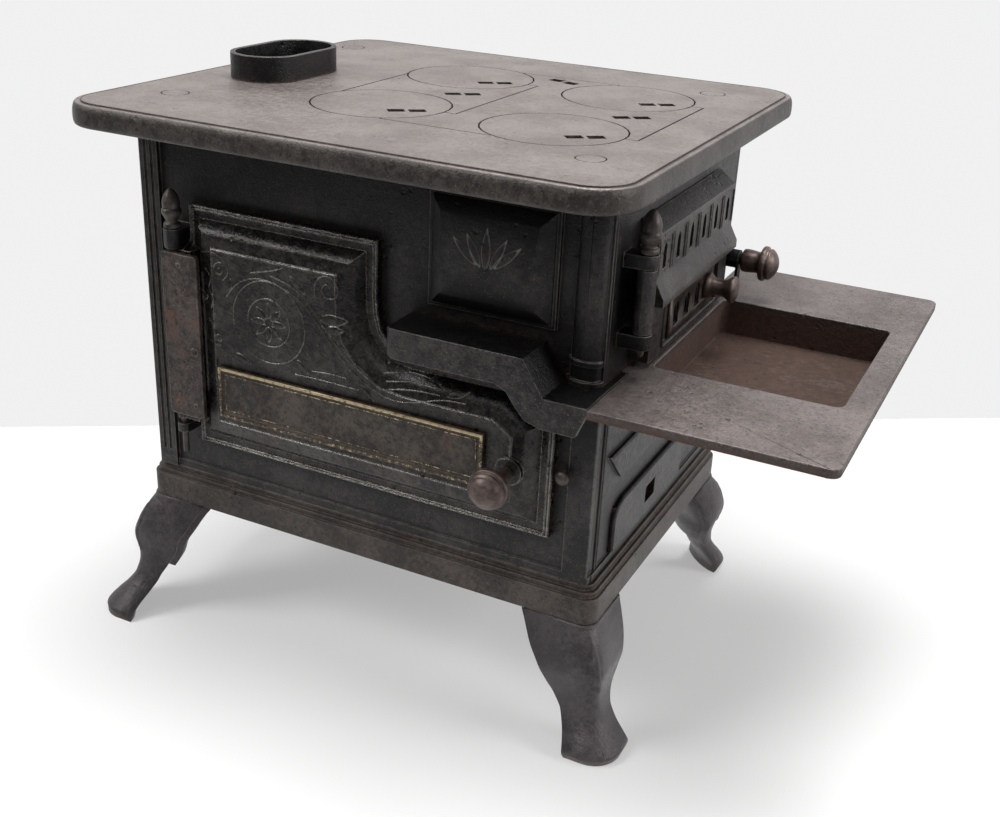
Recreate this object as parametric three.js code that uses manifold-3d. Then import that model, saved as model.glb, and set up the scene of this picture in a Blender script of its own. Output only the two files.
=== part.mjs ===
// A small cast iron cooking stove: four lids over a firebox and an L-shaped oven, an apron hearth
// with a sunken well under the firebox door, a moulded base and four hollow cabriole legs.
// Millimetres, +Z up, +X towards the firebox end, -Y towards the oven door, floor at z = 0.
import * as THREE from "three";
import { mergeVertices } from "three/addons/utils/BufferGeometryUtils.js";
import Module from "manifold-3d";

const wasm = await Module();
wasm.setup();

// Fits shared by every piece
const seat = 0.3;
const running = 0.6;
const overrun = 3;
const weld = 0.0001;
const roundSides = 32;
const smallSides = 14;
const pinSides = 12;
const ovalSides = 7;
const cornerSides = 4;

// Driving sizes: the top plate is centred on x = 0, y = 0
const top = { length: 570, depth: 533, thick: 6, skirt: 22, lip: 6, corner: 32, edge: 3 };
const body = { length: 511, depth: 363, height: 410, wall: 6, shiftX: -12.5, shiftY: 14.5 };
const base = { height: 34, flareSide: 13, flareFront: 9, flareBack: 12, wall: 8, corner: 15 };
const leg = { height: 138, wing: 72, wall: 7 };

const baseTop = leg.height + base.height;
const bodyTop = baseTop + body.height;
const plateTop = bodyTop + top.thick;
const left = body.shiftX - body.length / 2;
const right = body.shiftX + body.length / 2;
const front = body.shiftY - body.depth / 2;
const back = body.shiftY + body.depth / 2;
const innerLeft = left + body.wall;
const innerRight = right - body.wall;
const innerFront = front + body.wall;
const innerBack = back - body.wall;
const baseLeft = left - base.flareSide;
const baseRight = right + base.flareSide;
const baseFront = front - base.flareFront;
const baseBack = back + base.flareBack;

// Finishes, as seen on the real castings
const finish = {
  top: [0x6f6862, 0.62, 0.55],
  iron: [0x2c2a2b, 0.55, 0.6],
  base: [0x4b4543, 0.6, 0.55],
  hearth: [0x7b736c, 0.62, 0.55],
  strap: [0x554438, 0.75, 0.4],
  badge: [0x8c7f62, 0.5, 0.6],
  knob: [0x4a3c34, 0.45, 0.6],
  rod: [0x5a5350, 0.5, 0.7],
  inside: [0x4a3a30, 0.85, 0.3],
};

const stove = new THREE.Group();

function add(name, body3d, look) {
  const raw = body3d.getMesh();
  const geometry = new THREE.BufferGeometry();
  geometry.setAttribute("position", new THREE.BufferAttribute(new Float32Array(raw.vertProperties), 3));
  geometry.setIndex(Array.from(raw.triVerts));
  geometry.computeVertexNormals();
  const [color, roughness, metalness] = finish[look];
  const mesh = new THREE.Mesh(geometry, new THREE.MeshStandardMaterial({ color, roughness, metalness }));
  mesh.name = name;
  stove.add(mesh);
}

// Solids from three.js geometry
function solid(geometry) {
  geometry.deleteAttribute("normal");
  geometry.deleteAttribute("uv");
  const merged = mergeVertices(geometry, weld);
  const index = merged.index.array;
  const kept = [];
  for (let i = 0; i < index.length; i += 3) {
    const [a, b, c] = [index[i], index[i + 1], index[i + 2]];
    if (a !== b && b !== c && c !== a) kept.push(a, b, c);
  }
  const vertProperties = new Float32Array(merged.attributes.position.array);
  return new wasm.Manifold(new wasm.Mesh({ numProp: 3, vertProperties, triVerts: new Uint32Array(kept) }));
}

const join = (pieces) => pieces.reduce((sum, piece) => sum.add(piece));
const cut = (from, cutters) => cutters.reduce((rest, cutter) => rest.subtract(cutter), from);

function box(low, high) {
  const size = high.map((value, i) => value - low[i]);
  const middle = high.map((value, i) => (value + low[i]) / 2);
  return solid(new THREE.BoxGeometry(...size).translate(...middle));
}

function extruded(shape, depth, sides = cornerSides) {
  return new THREE.ExtrudeGeometry(shape, { depth, bevelEnabled: false, curveSegments: sides });
}

// A plan outline (x, y) standing from z = low to z = high
const standing = (shape, low, high, sides) => solid(extruded(shape, high - low, sides).translate(0, 0, low));

// An outline (x, z) running from y = near to y = far
const acrossFront = (shape, near, far, sides) =>
  solid(extruded(shape, far - near, sides).rotateX(Math.PI / 2).translate(0, far, 0));

// An outline (y, z) running from x = low to x = high
const sideFrame = new THREE.Matrix4().makeBasis(
  new THREE.Vector3(0, 1, 0), new THREE.Vector3(0, 0, 1), new THREE.Vector3(1, 0, 0));
const acrossEnd = (shape, low, high, sides) =>
  solid(extruded(shape, high - low, sides).applyMatrix4(sideFrame).translate(low, 0, 0));

// A profile of [radius, height] pairs turned about +Z, then pointed along an axis and moved
const pointing = { up: [0, 0], forward: [Math.PI / 2, 0], right: [0, Math.PI / 2], down: [Math.PI, 0] };
function turned(profile, way, at, sides = smallSides) {
  const points = profile.map(([radius, height]) => new THREE.Vector2(radius, height));
  const geometry = new THREE.LatheGeometry(points, sides).rotateX(Math.PI / 2);
  const [tiltX, tiltY] = pointing[way];
  return solid(geometry.rotateX(tiltX).rotateY(tiltY).translate(...at));
}
const rod = (radius, low, high, way, at, sides = pinSides) =>
  turned([[0, low], [radius, low], [radius, high], [0, high]], way, at, sides);

function polygon(points) {
  return new THREE.Shape(points.map(([x, y]) => new THREE.Vector2(x, y)));
}

function roundedBox(x0, y0, x1, y1, r) {
  const shape = new THREE.Shape();
  shape.absarc(x1 - r, y0 + r, r, -Math.PI / 2, 0);
  shape.absarc(x1 - r, y1 - r, r, 0, Math.PI / 2);
  shape.absarc(x0 + r, y1 - r, r, Math.PI / 2, Math.PI);
  shape.absarc(x0 + r, y0 + r, r, Math.PI, 1.5 * Math.PI);
  return shape;
}

function circle(x, y, r) {
  const shape = new THREE.Shape();
  shape.absarc(x, y, r, 0, 2 * Math.PI);
  return shape;
}

// An oval with two straight sides along y
function oval(x, y, halfWidth, halfLength) {
  const straight = halfLength - halfWidth;
  const shape = new THREE.Shape();
  shape.absarc(x, y + straight, halfWidth, 0, Math.PI);
  shape.absarc(x, y - straight, halfWidth, Math.PI, 2 * Math.PI);
  return shape;
}

// Points of an outline, without repeats, anticlockwise
function outline(shape, sides = cornerSides) {
  const points = shape.getPoints(sides);
  const kept = points.filter((point, i) => point.distanceTo(points[(i + 1) % points.length]) > weld);
  return THREE.ShapeUtils.isClockWise(kept) ? kept.reverse() : kept;
}

// The outline moved inwards by a distance, corner for corner
function inset(points, distance) {
  return points.map((point, i) => {
    const before = points[(i + points.length - 1) % points.length];
    const after = points[(i + 1) % points.length];
    const a = point.clone().sub(before).normalize();
    const b = after.clone().sub(point).normalize();
    const normalA = new THREE.Vector2(-a.y, a.x);
    const normalB = new THREE.Vector2(-b.y, b.x);
    const both = normalA.clone().add(normalB);
    return point.clone().addScaledVector(both, distance / (1 + normalA.dot(normalB)));
  });
}

// A closed skin through rings of equal count: each layer is [points, height]
function layered(layers) {
  const count = layers[0][0].length;
  const positions = layers.flatMap(([points, height]) => points.flatMap((p) => [p.x, p.y, height]));
  const index = [];
  for (let ring = 0; ring + 1 < layers.length; ring += 1) {
    for (let i = 0; i < count; i += 1) {
      const a = ring * count + i;
      const b = ring * count + ((i + 1) % count);
      index.push(a, b, a + count, b, b + count, a + count);
    }
  }
  const last = (layers.length - 1) * count;
  for (const [a, b, c] of THREE.ShapeUtils.triangulateShape(layers[0][0], [])) index.push(c, b, a);
  for (const [a, b, c] of THREE.ShapeUtils.triangulateShape(layers[layers.length - 1][0], [])) {
    index.push(last + a, last + b, last + c);
  }
  const geometry = new THREE.BufferGeometry();
  geometry.setAttribute("position", new THREE.Float32BufferAttribute(positions, 3));
  geometry.setIndex(index);
  return geometry;
}

// Relief that stands off a wall: layers are [inset distance, how far it stands out]
const relief = (points, layers) => layered(layers.map(([distance, out]) => [inset(points, distance), out]));
const onFront = (geometry, y) => solid(geometry.rotateX(Math.PI / 2).translate(0, y, 0));
const onEnd = (geometry, x) => solid(geometry.applyMatrix4(sideFrame).translate(x, 0, 0));

// Base frame: a channel with stepped mouldings, and an inner flange that carries the walls
const baseFrame = { step: 6, stepIn: 3, ridge: 6, ridgeIn: 7, flange: 6, reach: 18 };

function buildBase() {
  const outer = (distance) =>
    roundedBox(baseLeft + distance, baseFront + distance, baseRight - distance, baseBack - distance,
      base.corner - distance / 2);
  const walls = polygon([
    [left - seat, front - seat], [right + seat, front - seat],
    [right + seat, back + seat], [left - seat, back + seat]]);
  const opening = box(
    [innerLeft + baseFrame.reach, innerFront + baseFrame.reach, leg.height - overrun],
    [innerRight - baseFrame.reach, innerBack - baseFrame.reach, baseTop + overrun]);
  const frame = join([
    standing(outer(0), leg.height, baseTop - baseFrame.step),
    standing(outer(baseFrame.stepIn), leg.height, baseTop),
    standing(outer(baseFrame.ridgeIn), leg.height, baseTop + baseFrame.ridge)]);
  add("base_frame", cut(frame, [
    standing(outer(base.wall), leg.height - overrun, baseTop - baseFrame.flange),
    standing(walls, baseTop, baseTop + baseFrame.ridge + overrun),
    opening]), "base");
}

// Legs: hollow corner castings that swell at the knee, narrow to the ankle and sweep out to a pad
const legHeightShare = [0, 0.05, 0.12, 0.2, 0.3, 0.42, 0.55, 0.65, 0.78, 0.9, 1];
const legOutShare = [0.56, 0.58, 0.49, 0.35, 0.235, 0.195, 0.22, 0.25, 0.195, 0.1, 0.014];
const legWingShare = [0.67, 0.71, 0.65, 0.57, 0.53, 0.61, 0.78, 0.875, 0.96, 0.985, 1];
const legRoundShare = [0.6, 0.6, 0.56, 0.46, 0.38, 0.3, 0.25, 0.24, 0.22, 0.2, 0.2];
const legHollowShare = 0.4;
const legBowShare = 0.12;
const legArcSides = 5;
const legLug = { reach: 50, start: 20, height: 18, thick: 8, root: 4, drop: 10 };

// The front left leg stands a little askew: how far its foot leans out along x and y
const straight = [0, 0];
const leaning = [0, 20];

// One level of the leg: a right-angled corner with a rounded nose, closed by a bowed diagonal
function legRing([x, y], wing, nose) {
  const bow = wing * legBowShare;
  const points = [
    [-wing, 0], [-wing + bow / 2, -bow], [-(wing + bow) / 2, -(wing + bow) / 2],
    [-bow, -wing + bow / 2], [0, -wing]].map(([u, v]) => new THREE.Vector2(x + u, y + v));
  for (let i = 0; i <= legArcSides; i += 1) {
    const angle = (Math.PI / 2) * (i / legArcSides);
    points.push(new THREE.Vector2(x - nose + nose * Math.cos(angle), y - nose + nose * Math.sin(angle)));
  }
  return points;
}

function buildLeg(name, x, y, towardX, towardY, lean) {
  const levels = legHeightShare.map((share, i) => ({
    share,
    out: lean.map((far) => leg.wing * legOutShare[i] + far * (1 - share) ** 2),
    wing: leg.wing * legWingShare[i],
    nose: leg.wing * legWingShare[i] * legRoundShare[i] }));
  const rings = levels.map(({ share, out, wing, nose }) =>
    [legRing(out, wing, nose), leg.height * share - (share === 1 ? seat : 0)]);
  const hollow = levels.filter(({ share }) => share > legHollowShare).map(({ share, out, wing, nose }) =>
    [legRing(out.map((reach) => reach - leg.wall), wing, nose / 2),
      leg.height * share + (share === 1 ? overrun : 0)]);
  const shell = solid(layered(rings)).subtract(solid(layered(hollow)));
  const low = leg.height - seat - legLug.drop;
  const face = -base.wall - seat;
  const whole = join([shell,
    box([-legLug.reach, face - legLug.thick, low], [-legLug.start, face, leg.height + legLug.height]),
    box([-legLug.reach, face - legLug.thick, low], [-legLug.start, -legLug.root, leg.height - seat])]);
  const raw = whole.getMesh();
  const geometry = new THREE.BufferGeometry();
  geometry.setAttribute("position", new THREE.BufferAttribute(new Float32Array(raw.vertProperties), 3));
  geometry.setIndex(Array.from(raw.triVerts));
  geometry.scale(towardX, towardY, 1);
  if (towardX * towardY < 0) geometry.index.array.reverse();
  add(name, solid(geometry.translate(x, y, 0)), "base");
}

// Bottom plate, resting on the flange of the base, and the flush bolts that hold the top down
const floorPlate = { thick: 4, clear: 1 };
const bolt = {
  radius: 4, hole: 4.8, head: 13, headThick: 3, headGap: 0.8, boss: 9.5, bossHigh: 20, nutSides: 6,
  frontLeft: 48, frontRight: 26, backLeft: 25, backRight: 35, frontOut: 1, cornerOut: 5, backIn: 10 };
const bolts = [
  ["top_bolt_front_left", left + bolt.frontLeft, front - bolt.frontOut],
  ["top_bolt_front_right", right - bolt.frontRight, front - bolt.cornerOut],
  ["top_bolt_back_left", left + bolt.backLeft, back - bolt.backIn],
  ["top_bolt_back_right", right - bolt.backRight, back - bolt.backIn]];
const floorTop = baseTop + seat + floorPlate.thick;

function buildBottom() {
  add("bottom_plate", box([innerLeft + floorPlate.clear, innerFront + floorPlate.clear, baseTop + seat],
    [innerRight - floorPlate.clear, innerBack - floorPlate.clear, floorTop]), "inside");
  for (const [name, x, y] of bolts) {
    add(name, join([
      rod(bolt.radius, bodyTop - bolt.bossHigh, plateTop - bolt.headThick / 2, "up", [x, y, 0]),
      rod(bolt.head, plateTop - bolt.headThick, plateTop, "up", [x, y, 0], smallSides)]), "top");
  }
}

// A boss on the top edge of a wall, drilled for its bolt
const bossOf = ([, x, y]) => rod(bolt.boss, bodyTop - bolt.bossHigh, bodyTop - seat, "up", [x, y, 0], pinSides);
const boltHole = ([, x, y], low, high) => rod(bolt.hole, low, high, "up", [x, y, 0]);

// The oven: its mouth is an L, and the door follows it with a wider outline
const mouth = { left: -192, right: 188, low: 236, high: 464, neck: -4, shelf: 352, fillet: 24 };
const doorLap = { left: 14, right: 16, low: 14, high: 19, neck: 18, shelf: 24 };
const doorLine = {
  left: mouth.left - doorLap.left, right: mouth.right + doorLap.right,
  low: mouth.low - doorLap.low, high: mouth.high + doorLap.high,
  neck: mouth.neck + doorLap.neck, shelf: mouth.shelf + doorLap.shelf,
  bend: 40, bendHigh: 52, shelfLong: 104, stepDrop: 30, curve: 32 };

// The step ledge clears the door below it, and its lower end carries the hearth
const ledge = {
  overDoor: 12, drop: 33, left: 44, front: -219, stepLeft: 186, stepRight: 207, right: 250, lip: 30, thick: 6,
  round: 16, slant: 10, back: -123, rise: 26 };
const ledgeTop = doorLine.shelf + ledge.overDoor + ledge.lip;
const ledgeLine = { top: ledgeTop, hearth: ledgeTop - ledge.drop };

function mouthShape(grow) {
  const m = mouth;
  const shape = new THREE.Shape();
  shape.moveTo(m.left - grow, m.low - grow);
  shape.lineTo(m.right + grow, m.low - grow);
  shape.lineTo(m.right + grow, m.shelf + grow);
  shape.lineTo(m.neck + m.fillet, m.shelf + grow);
  shape.quadraticCurveTo(m.neck + grow, m.shelf + grow, m.neck + grow, m.shelf + m.fillet);
  shape.lineTo(m.neck + grow, m.high + grow);
  shape.lineTo(m.left - grow, m.high + grow);
  shape.closePath();
  return shape;
}

function doorShape() {
  const d = doorLine;
  const shape = new THREE.Shape();
  shape.moveTo(d.left, d.low);
  shape.lineTo(d.right, d.low);
  const shelfLeft = d.neck + d.bend;
  const neckLow = d.shelf + d.bendHigh;
  shape.lineTo(d.right, d.shelf - d.stepDrop);
  shape.lineTo(shelfLeft + d.shelfLong, d.shelf);
  shape.lineTo(shelfLeft, d.shelf);
  shape.bezierCurveTo(shelfLeft - d.curve, d.shelf, d.neck, neckLow - d.curve, d.neck, neckLow);
  shape.lineTo(d.neck, d.high);
  shape.lineTo(d.left, d.high);
  shape.closePath();
  return shape;
}
const doorCurveSides = 5;

// Front plate: pilasters, corner column, pillow panel, hinge lugs and the oven mouth
const frontPlate = {
  pilaster: 23, proud: 5, groove: 3, grooveDeep: 2, capHeight: 10,
  columnLeft: 211, columnRight: 240, columnProud: 9, footHigh: 24, footGrow: 3, footRing: 5,
  cornerWide: 26, cornerProud: 2, skirtHigh: 15, skirtProud: 2 };
const skirtTop = baseTop + frontPlate.skirtHigh;
const panel = { left: 65, right: 195, low: 430, high: 540, rim: 4, lip: 6, rise: 12, slope: 40 };
const panelShare = [[0.12, 0.3], [0.3, 0.62], [0.55, 0.88], [1, 1]];
// Hinge places: side and stand from the door's corner, heights from its lower edge
const hingeFit = { side: 11, stand: 21, upper: 217, upperTall: 20, lower: 14, lowerTall: 10, pinDrop: 12 };
const hinge = {
  x: doorLine.left - hingeFit.side, y: front - hingeFit.stand, pin: 3.4, bore: 4, barrel: 9.5, lowerBarrel: 7.5,
  upperLow: doorLine.low + hingeFit.upper, upperHigh: doorLine.low + hingeFit.upper + hingeFit.upperTall,
  lowerLow: doorLine.low + hingeFit.lower, lowerHigh: doorLine.low + hingeFit.lower + hingeFit.lowerTall,
  pinLow: doorLine.low - hingeFit.pinDrop };
const acorn = { radius: 10, height: 40 };

// An acorn finial standing on height zero
const acornShare = [
  [0.84, 0], [0.84, 0.1], [0.62, 0.16], [0.74, 0.32], [1, 0.44], [1, 0.52],
  [0.88, 0.56], [0.84, 0.7], [0.6, 0.88], [0.24, 0.98], [0, 1]];
function acornProfile(bottom, pinRadius, pinLow) {
  const cup = acornShare.map(([r, h]) => [acorn.radius * r, bottom + acorn.height * h]);
  return [[0, pinLow], [pinRadius, pinLow], [pinRadius, bottom], ...cup];
}

function lugFromWall(hingeAt, barrel, low, high) {
  const ring = rod(barrel, low, high, "up", [hingeAt.x, hingeAt.y, 0]);
  const web = box([hingeAt.x - barrel, hingeAt.y, low], [hingeAt.x + barrel, front + overrun, high]);
  const hole = rod(hingeAt.bore, low - overrun, high + overrun, "up", [hingeAt.x, hingeAt.y, 0]);
  return ring.add(web).subtract(hole);
}

function halfRoundPost(x0, x1, low, high, proud) {
  const shape = new THREE.Shape();
  const middle = (x0 + x1) / 2;
  shape.absellipse(middle, front + weld, (x1 - x0) / 2, proud, Math.PI, 2 * Math.PI);
  shape.lineTo(x1, front + body.wall / 2);
  shape.lineTo(x0, front + body.wall / 2);
  shape.closePath();
  return standing(shape, low, high);
}

const catchFit = { side: 11, rise: 69 };
const catchPeg = {
  x: doorLine.right + catchFit.side, z: doorLine.low + catchFit.rise,
  shank: 3, head: 7, headThick: 4, stand: 9, tenon: 4, dome: 2.5 };

function buildFront() {
  const f = frontPlate;
  const bottom = baseTop + seat;
  const high = bodyTop - seat;
  const ledgeFoot = ledgeLine.hearth + seat;
  const parts = [
    box([left, front, bottom], [right, innerFront, high]),
    box([left, front - f.proud, baseTop + baseFrame.ridge + seat],
      [left + f.pilaster, front + overrun, plateTop - top.skirt - overrun]),
    box([right - f.cornerWide, front - f.cornerProud, baseTop + baseFrame.ridge + seat],
      [right, front + overrun, ledgeLine.hearth - ledge.thick - seat]),
    box([left, front - f.skirtProud, baseTop + baseFrame.ridge + seat],
      [right + f.skirtProud, innerFront, skirtTop]),
    ...bolts.slice(0, 2).map(bossOf),
    halfRoundPost(f.columnLeft, f.columnRight, ledgeFoot, plateTop - top.skirt - overrun, f.columnProud),
    halfRoundPost(f.columnLeft - f.footGrow, f.columnRight + f.footGrow, ledgeFoot,
      ledgeFoot + f.footRing, f.columnProud + f.footGrow),
    halfRoundPost(f.columnLeft - f.footGrow / 2, f.columnRight + f.footGrow / 2,
      ledgeFoot + f.footHigh - f.footRing, ledgeFoot + f.footHigh, f.columnProud + f.footGrow / 2)];
  const pillow = outline(polygon([
    [panel.left, panel.low], [panel.right, panel.low],
    [panel.right, panel.high], [panel.left, panel.high]]), 1);
  parts.push(onFront(relief(pillow, [
    [0, -overrun], [0, panel.rim], [panel.rim, panel.rim], [panel.rim, panel.lip],
    ...panelShare.map(([across, up]) =>
      [panel.rim + panel.slope * across, panel.lip + panel.rise * up])]), front));
  const lugs = [
    lugFromWall(hinge, hinge.barrel, hinge.upperLow, hinge.upperHigh),
    lugFromWall(hinge, hinge.lowerBarrel, hinge.lowerLow, hinge.lowerHigh)];
  const grooves = [1, 2].map((i) => {
    const x = left + (f.pilaster * i) / 3;
    return box([x - f.groove / 2, front - f.proud - overrun, skirtTop + f.capHeight],
      [x + f.groove / 2, front - f.proud + f.grooveDeep, plateTop - top.skirt - f.capHeight]);
  });
  const pegHole = rod(catchPeg.shank + running / 2, -overrun * 2, body.wall + overrun, "forward",
    [catchPeg.x, innerFront - overrun, catchPeg.z]);
  const plate = cut(join([...parts, ...lugs]),
    [...grooves, acrossFront(mouthShape(0), front - f.proud * 4, innerFront + overrun), pegHole,
      ...bolts.slice(0, 2).map((b) => boltHole(b, bodyTop - bolt.bossHigh - overrun, bodyTop + overrun))]);
  add("front_plate", plate, "iron");
}

// Back and end plates
const endPanel = {
  lapSide: 13, lapLow: 8, lapHigh: 21, ashLap: 4, apronLow: 268, apronHigh: 302, apronFront: -137,
  apronNeck: -104, apronProud: 3, apronRim: 3, skirtProud: 3, rib: 12, ribWide: 8 };

// Firebox door: a box-like casting with a gothic arcade over a sloped ledge and a draft slide
const fireDoor = {
  front: -105, back: 122, overHearth: 5, tall: 136, stand: 19, nose: 9, noseAt: 56, noseTall: 24, noseThick: 8,
  crownDrop: 13, wall: 5, arches: 6, archWide: 9, archAt: 88, archTall: 25,
  windowFront: -70, windowBack: 90, windowAt: 7, windowTall: 45, windowDeep: 3, arcadeDeep: 1.5 };
const fireDoorLow = ledgeLine.hearth + fireDoor.overHearth;
const fireDoorHigh = fireDoorLow + fireDoor.tall;
const fireDoorFace = right + fireDoor.stand;
const fireHingeFit = { out: 1, side: 29, upper: 101, upperTall: 13, lower: 26, lowerTall: 14, pinRise: 18 };
const fireHinge = {
  x: fireDoorFace + fireHingeFit.out, y: fireDoor.front - fireHingeFit.side, pin: 4, bore: 4.5, barrel: 9.5,
  upperLow: fireDoorLow + fireHingeFit.upper, upperHigh: fireDoorLow + fireHingeFit.upper + fireHingeFit.upperTall,
  lowerLow: fireDoorLow + fireHingeFit.lower, lowerHigh: fireDoorLow + fireHingeFit.lower + fireHingeFit.lowerTall,
  pinLow: fireDoorLow + fireHingeFit.pinRise };

// Turn latch beside the firebox door: a finger on a spindle, with a mushroom knob clear of the door's swing
const latchKnob = { disc: 18.5, stand: 42, clear: 2.5, rise: 37 };
const fireLatch = {
  y: fireDoor.back + latchKnob.disc + latchKnob.clear, z: fireDoorLow + latchKnob.rise, shank: 6, hole: 6.8 };

function fireLug(low, high) {
  const h = fireHinge;
  const arm = box([right - overrun, h.y - h.barrel, low], [h.x, h.y + h.barrel, high]);
  const hole = rod(h.bore, low - overrun, high + overrun, "up", [h.x, h.y, 0]);
  return rod(h.barrel, low, high, "up", [h.x, h.y, 0]).add(arm).subtract(hole);
}

function buildWalls() {
  const low = baseTop + seat;
  const high = bodyTop - seat;
  const near = innerFront + seat;
  const far = innerBack - seat;
  const e = endPanel;
  const ribs = [-1, 1].map((side) => {
    const x = body.shiftX + (side * body.length) / 4;
    return box([x - e.ribWide / 2, back - overrun, low + e.rib],
      [x + e.ribWide / 2, back + e.rib / 4, high - e.rib]);
  });
  add("back_plate", cut(join([box([left, innerBack, low], [right, back, high]), ...ribs,
    ...bolts.slice(2).map(bossOf)]), bolts.slice(2).map((b) =>
    boltHole(b, bodyTop - bolt.bossHigh - overrun, bodyTop + overrun))), "iron");
  add("left_end_plate", box([left, near, low], [innerLeft, far, high]), "iron");
  const apron = [
    [e.apronNeck, e.apronLow], [-e.apronNeck + e.ribWide, e.apronLow],
    [-e.apronNeck + e.ribWide * 2, e.apronHigh], [e.apronFront, e.apronHigh]];
  const moulding = onEnd(relief(outline(polygon(apron), 1), [
    [0, -overrun], [0, e.apronProud], [e.apronRim, e.apronProud + e.apronRim / 2]]), right);
  const wall = join([
    box([innerRight, near, low], [right, far, high]),
    box([right - overrun, near, low + baseFrame.ridge], [right + e.skirtProud, far, skirtTop]),
    moulding, fireLug(fireHinge.upperLow, fireHinge.upperHigh), fireLug(fireHinge.lowerLow, fireHinge.lowerHigh)]);
  add("right_end_plate", cut(wall, [
    box([innerRight - overrun, fireDoor.front + e.lapSide, fireDoorLow + e.lapLow],
      [right + overrun, fireDoor.back - e.lapSide, fireDoorHigh - e.lapHigh]),
    box([innerRight - overrun, cleanOut.front + e.ashLap, cleanOut.low + e.ashLap],
      [right + overrun * 2, cleanOut.back - e.ashLap, cleanOut.high - e.ashLap]),
    rod(fireLatch.hole, innerRight - overrun, right + overrun, "right", [0, fireLatch.y, fireLatch.z])]), "iron");
}

// Oven box, rack and firebox lining
const oven = { wall: 3.5, back: 150, runner: 8, runnerThick: 3, rackLevel: 300 };
const rack = { edge: 5, bar: 4, bars: 9, clear: 2, depth: 280 };

function buildOven() {
  const near = innerFront + seat;
  const shell = acrossFront(mouthShape(oven.wall), near, oven.back + oven.wall);
  const hollow = acrossFront(mouthShape(0), near - overrun, oven.back);
  const runners = [
    box([mouth.left - oven.wall / 2, near, oven.rackLevel - oven.runnerThick],
      [mouth.left + oven.runner, oven.back + oven.wall / 2, oven.rackLevel]),
    box([mouth.right - oven.runner, near, oven.rackLevel - oven.runnerThick],
      [mouth.right + oven.wall / 2, oven.back + oven.wall / 2, oven.rackLevel])];
  add("oven_box", join([shell.subtract(hollow), ...runners]), "inside");

  const low = oven.rackLevel + seat;
  const x0 = mouth.left + rack.clear;
  const x1 = mouth.right - rack.clear;
  const y1 = oven.back - rack.clear;
  const y0 = y1 - rack.depth;
  const frame = box([x0, y0, low], [x1, y1, low + rack.edge])
    .subtract(box([x0 + rack.edge, y0 + rack.edge, low - overrun],
      [x1 - rack.edge, y1 - rack.edge, low + overrun * 3]));
  const bars = Array.from({ length: rack.bars }, (_, i) => {
    const x = x0 + ((x1 - x0) * (i + 1)) / (rack.bars + 1);
    return box([x - rack.bar / 2, y0 + rack.edge / 2, low],
      [x + rack.bar / 2, y1 - rack.edge / 2, low + rack.bar]);
  });
  add("oven_rack", join([frame, ...bars]), "rod");
}

const fire = {
  floorRise: 20, floorThick: 6, left: 38, wall: 7, front: -158, back: 166, right: innerRight - seat, rimDrop: 37,
  topDrop: 10, grateRise: 94, grateThick: 9, lug: 9, lugThick: 8, bar: 8, gap: 9, footWide: 12, sideGap: 9 };

function buildFirebox() {
  const f = fire;
  const floor = mouth.shelf + f.floorRise;
  const grateLevel = mouth.shelf + f.grateRise;
  const high = bodyTop - f.topDrop;
  const floorHigh = floor + f.floorThick;
  const bottom = mouth.shelf + oven.wall + seat;
  const feet = [f.front + f.wall, f.back - f.wall - f.footWide].map((y) =>
    box([f.left + f.wall, y, bottom], [mouth.right - f.footWide, y + f.footWide, floor + overrun]));
  add("firebox_floor", join([box([f.left, f.front, floor], [f.right, f.back, floorHigh]), ...feet]), "inside");

  const low = floorHigh + seat;
  const lugHigh = grateLevel;
  const lugLow = lugHigh - f.lugThick;
  add("firebox_lining_front", join([
    box([f.left + f.wall + seat, f.front, low], [f.right, f.front + f.wall, high]),
    box([f.left + f.wall + seat, f.front + f.wall / 2, lugLow], [f.right, f.front + f.wall + f.lug, lugHigh])]),
  "inside");
  add("firebox_lining_back", join([
    box([f.left + f.wall + seat, f.back - f.wall, low], [f.right, f.back, high]),
    box([f.left + f.wall + seat, f.back - f.wall - f.lug, lugLow], [f.right, f.back - f.wall / 2, lugHigh])]),
  "inside");
  add("firebox_lining_left", box([f.left, f.front, low],
    [f.left + f.wall, f.back, bodyTop - f.rimDrop]), "inside");

  const x0 = f.left + f.wall + running * 2;
  const x1 = f.right - f.sideGap;
  const y0 = f.front + f.wall + running * 2;
  const y1 = f.back - f.wall - running * 2;
  const z0 = grateLevel + seat;
  const pitch = f.bar + f.gap;
  const count = Math.floor((x1 - x0 - 2 * f.bar - f.gap) / pitch);
  const margin = (x1 - x0 - count * pitch + f.bar) / 2;
  const slots = Array.from({ length: count }, (_, i) => {
    const x = x0 + margin + i * pitch;
    return box([x, y0 + f.lug + f.bar, z0 - overrun],
      [x + f.gap, y1 - f.lug - f.bar, z0 + f.grateThick + overrun]);
  });
  add("firebox_grate", cut(box([x0, y0, z0], [x1, y1, z0 + f.grateThick]), slots), "inside");
}

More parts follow.
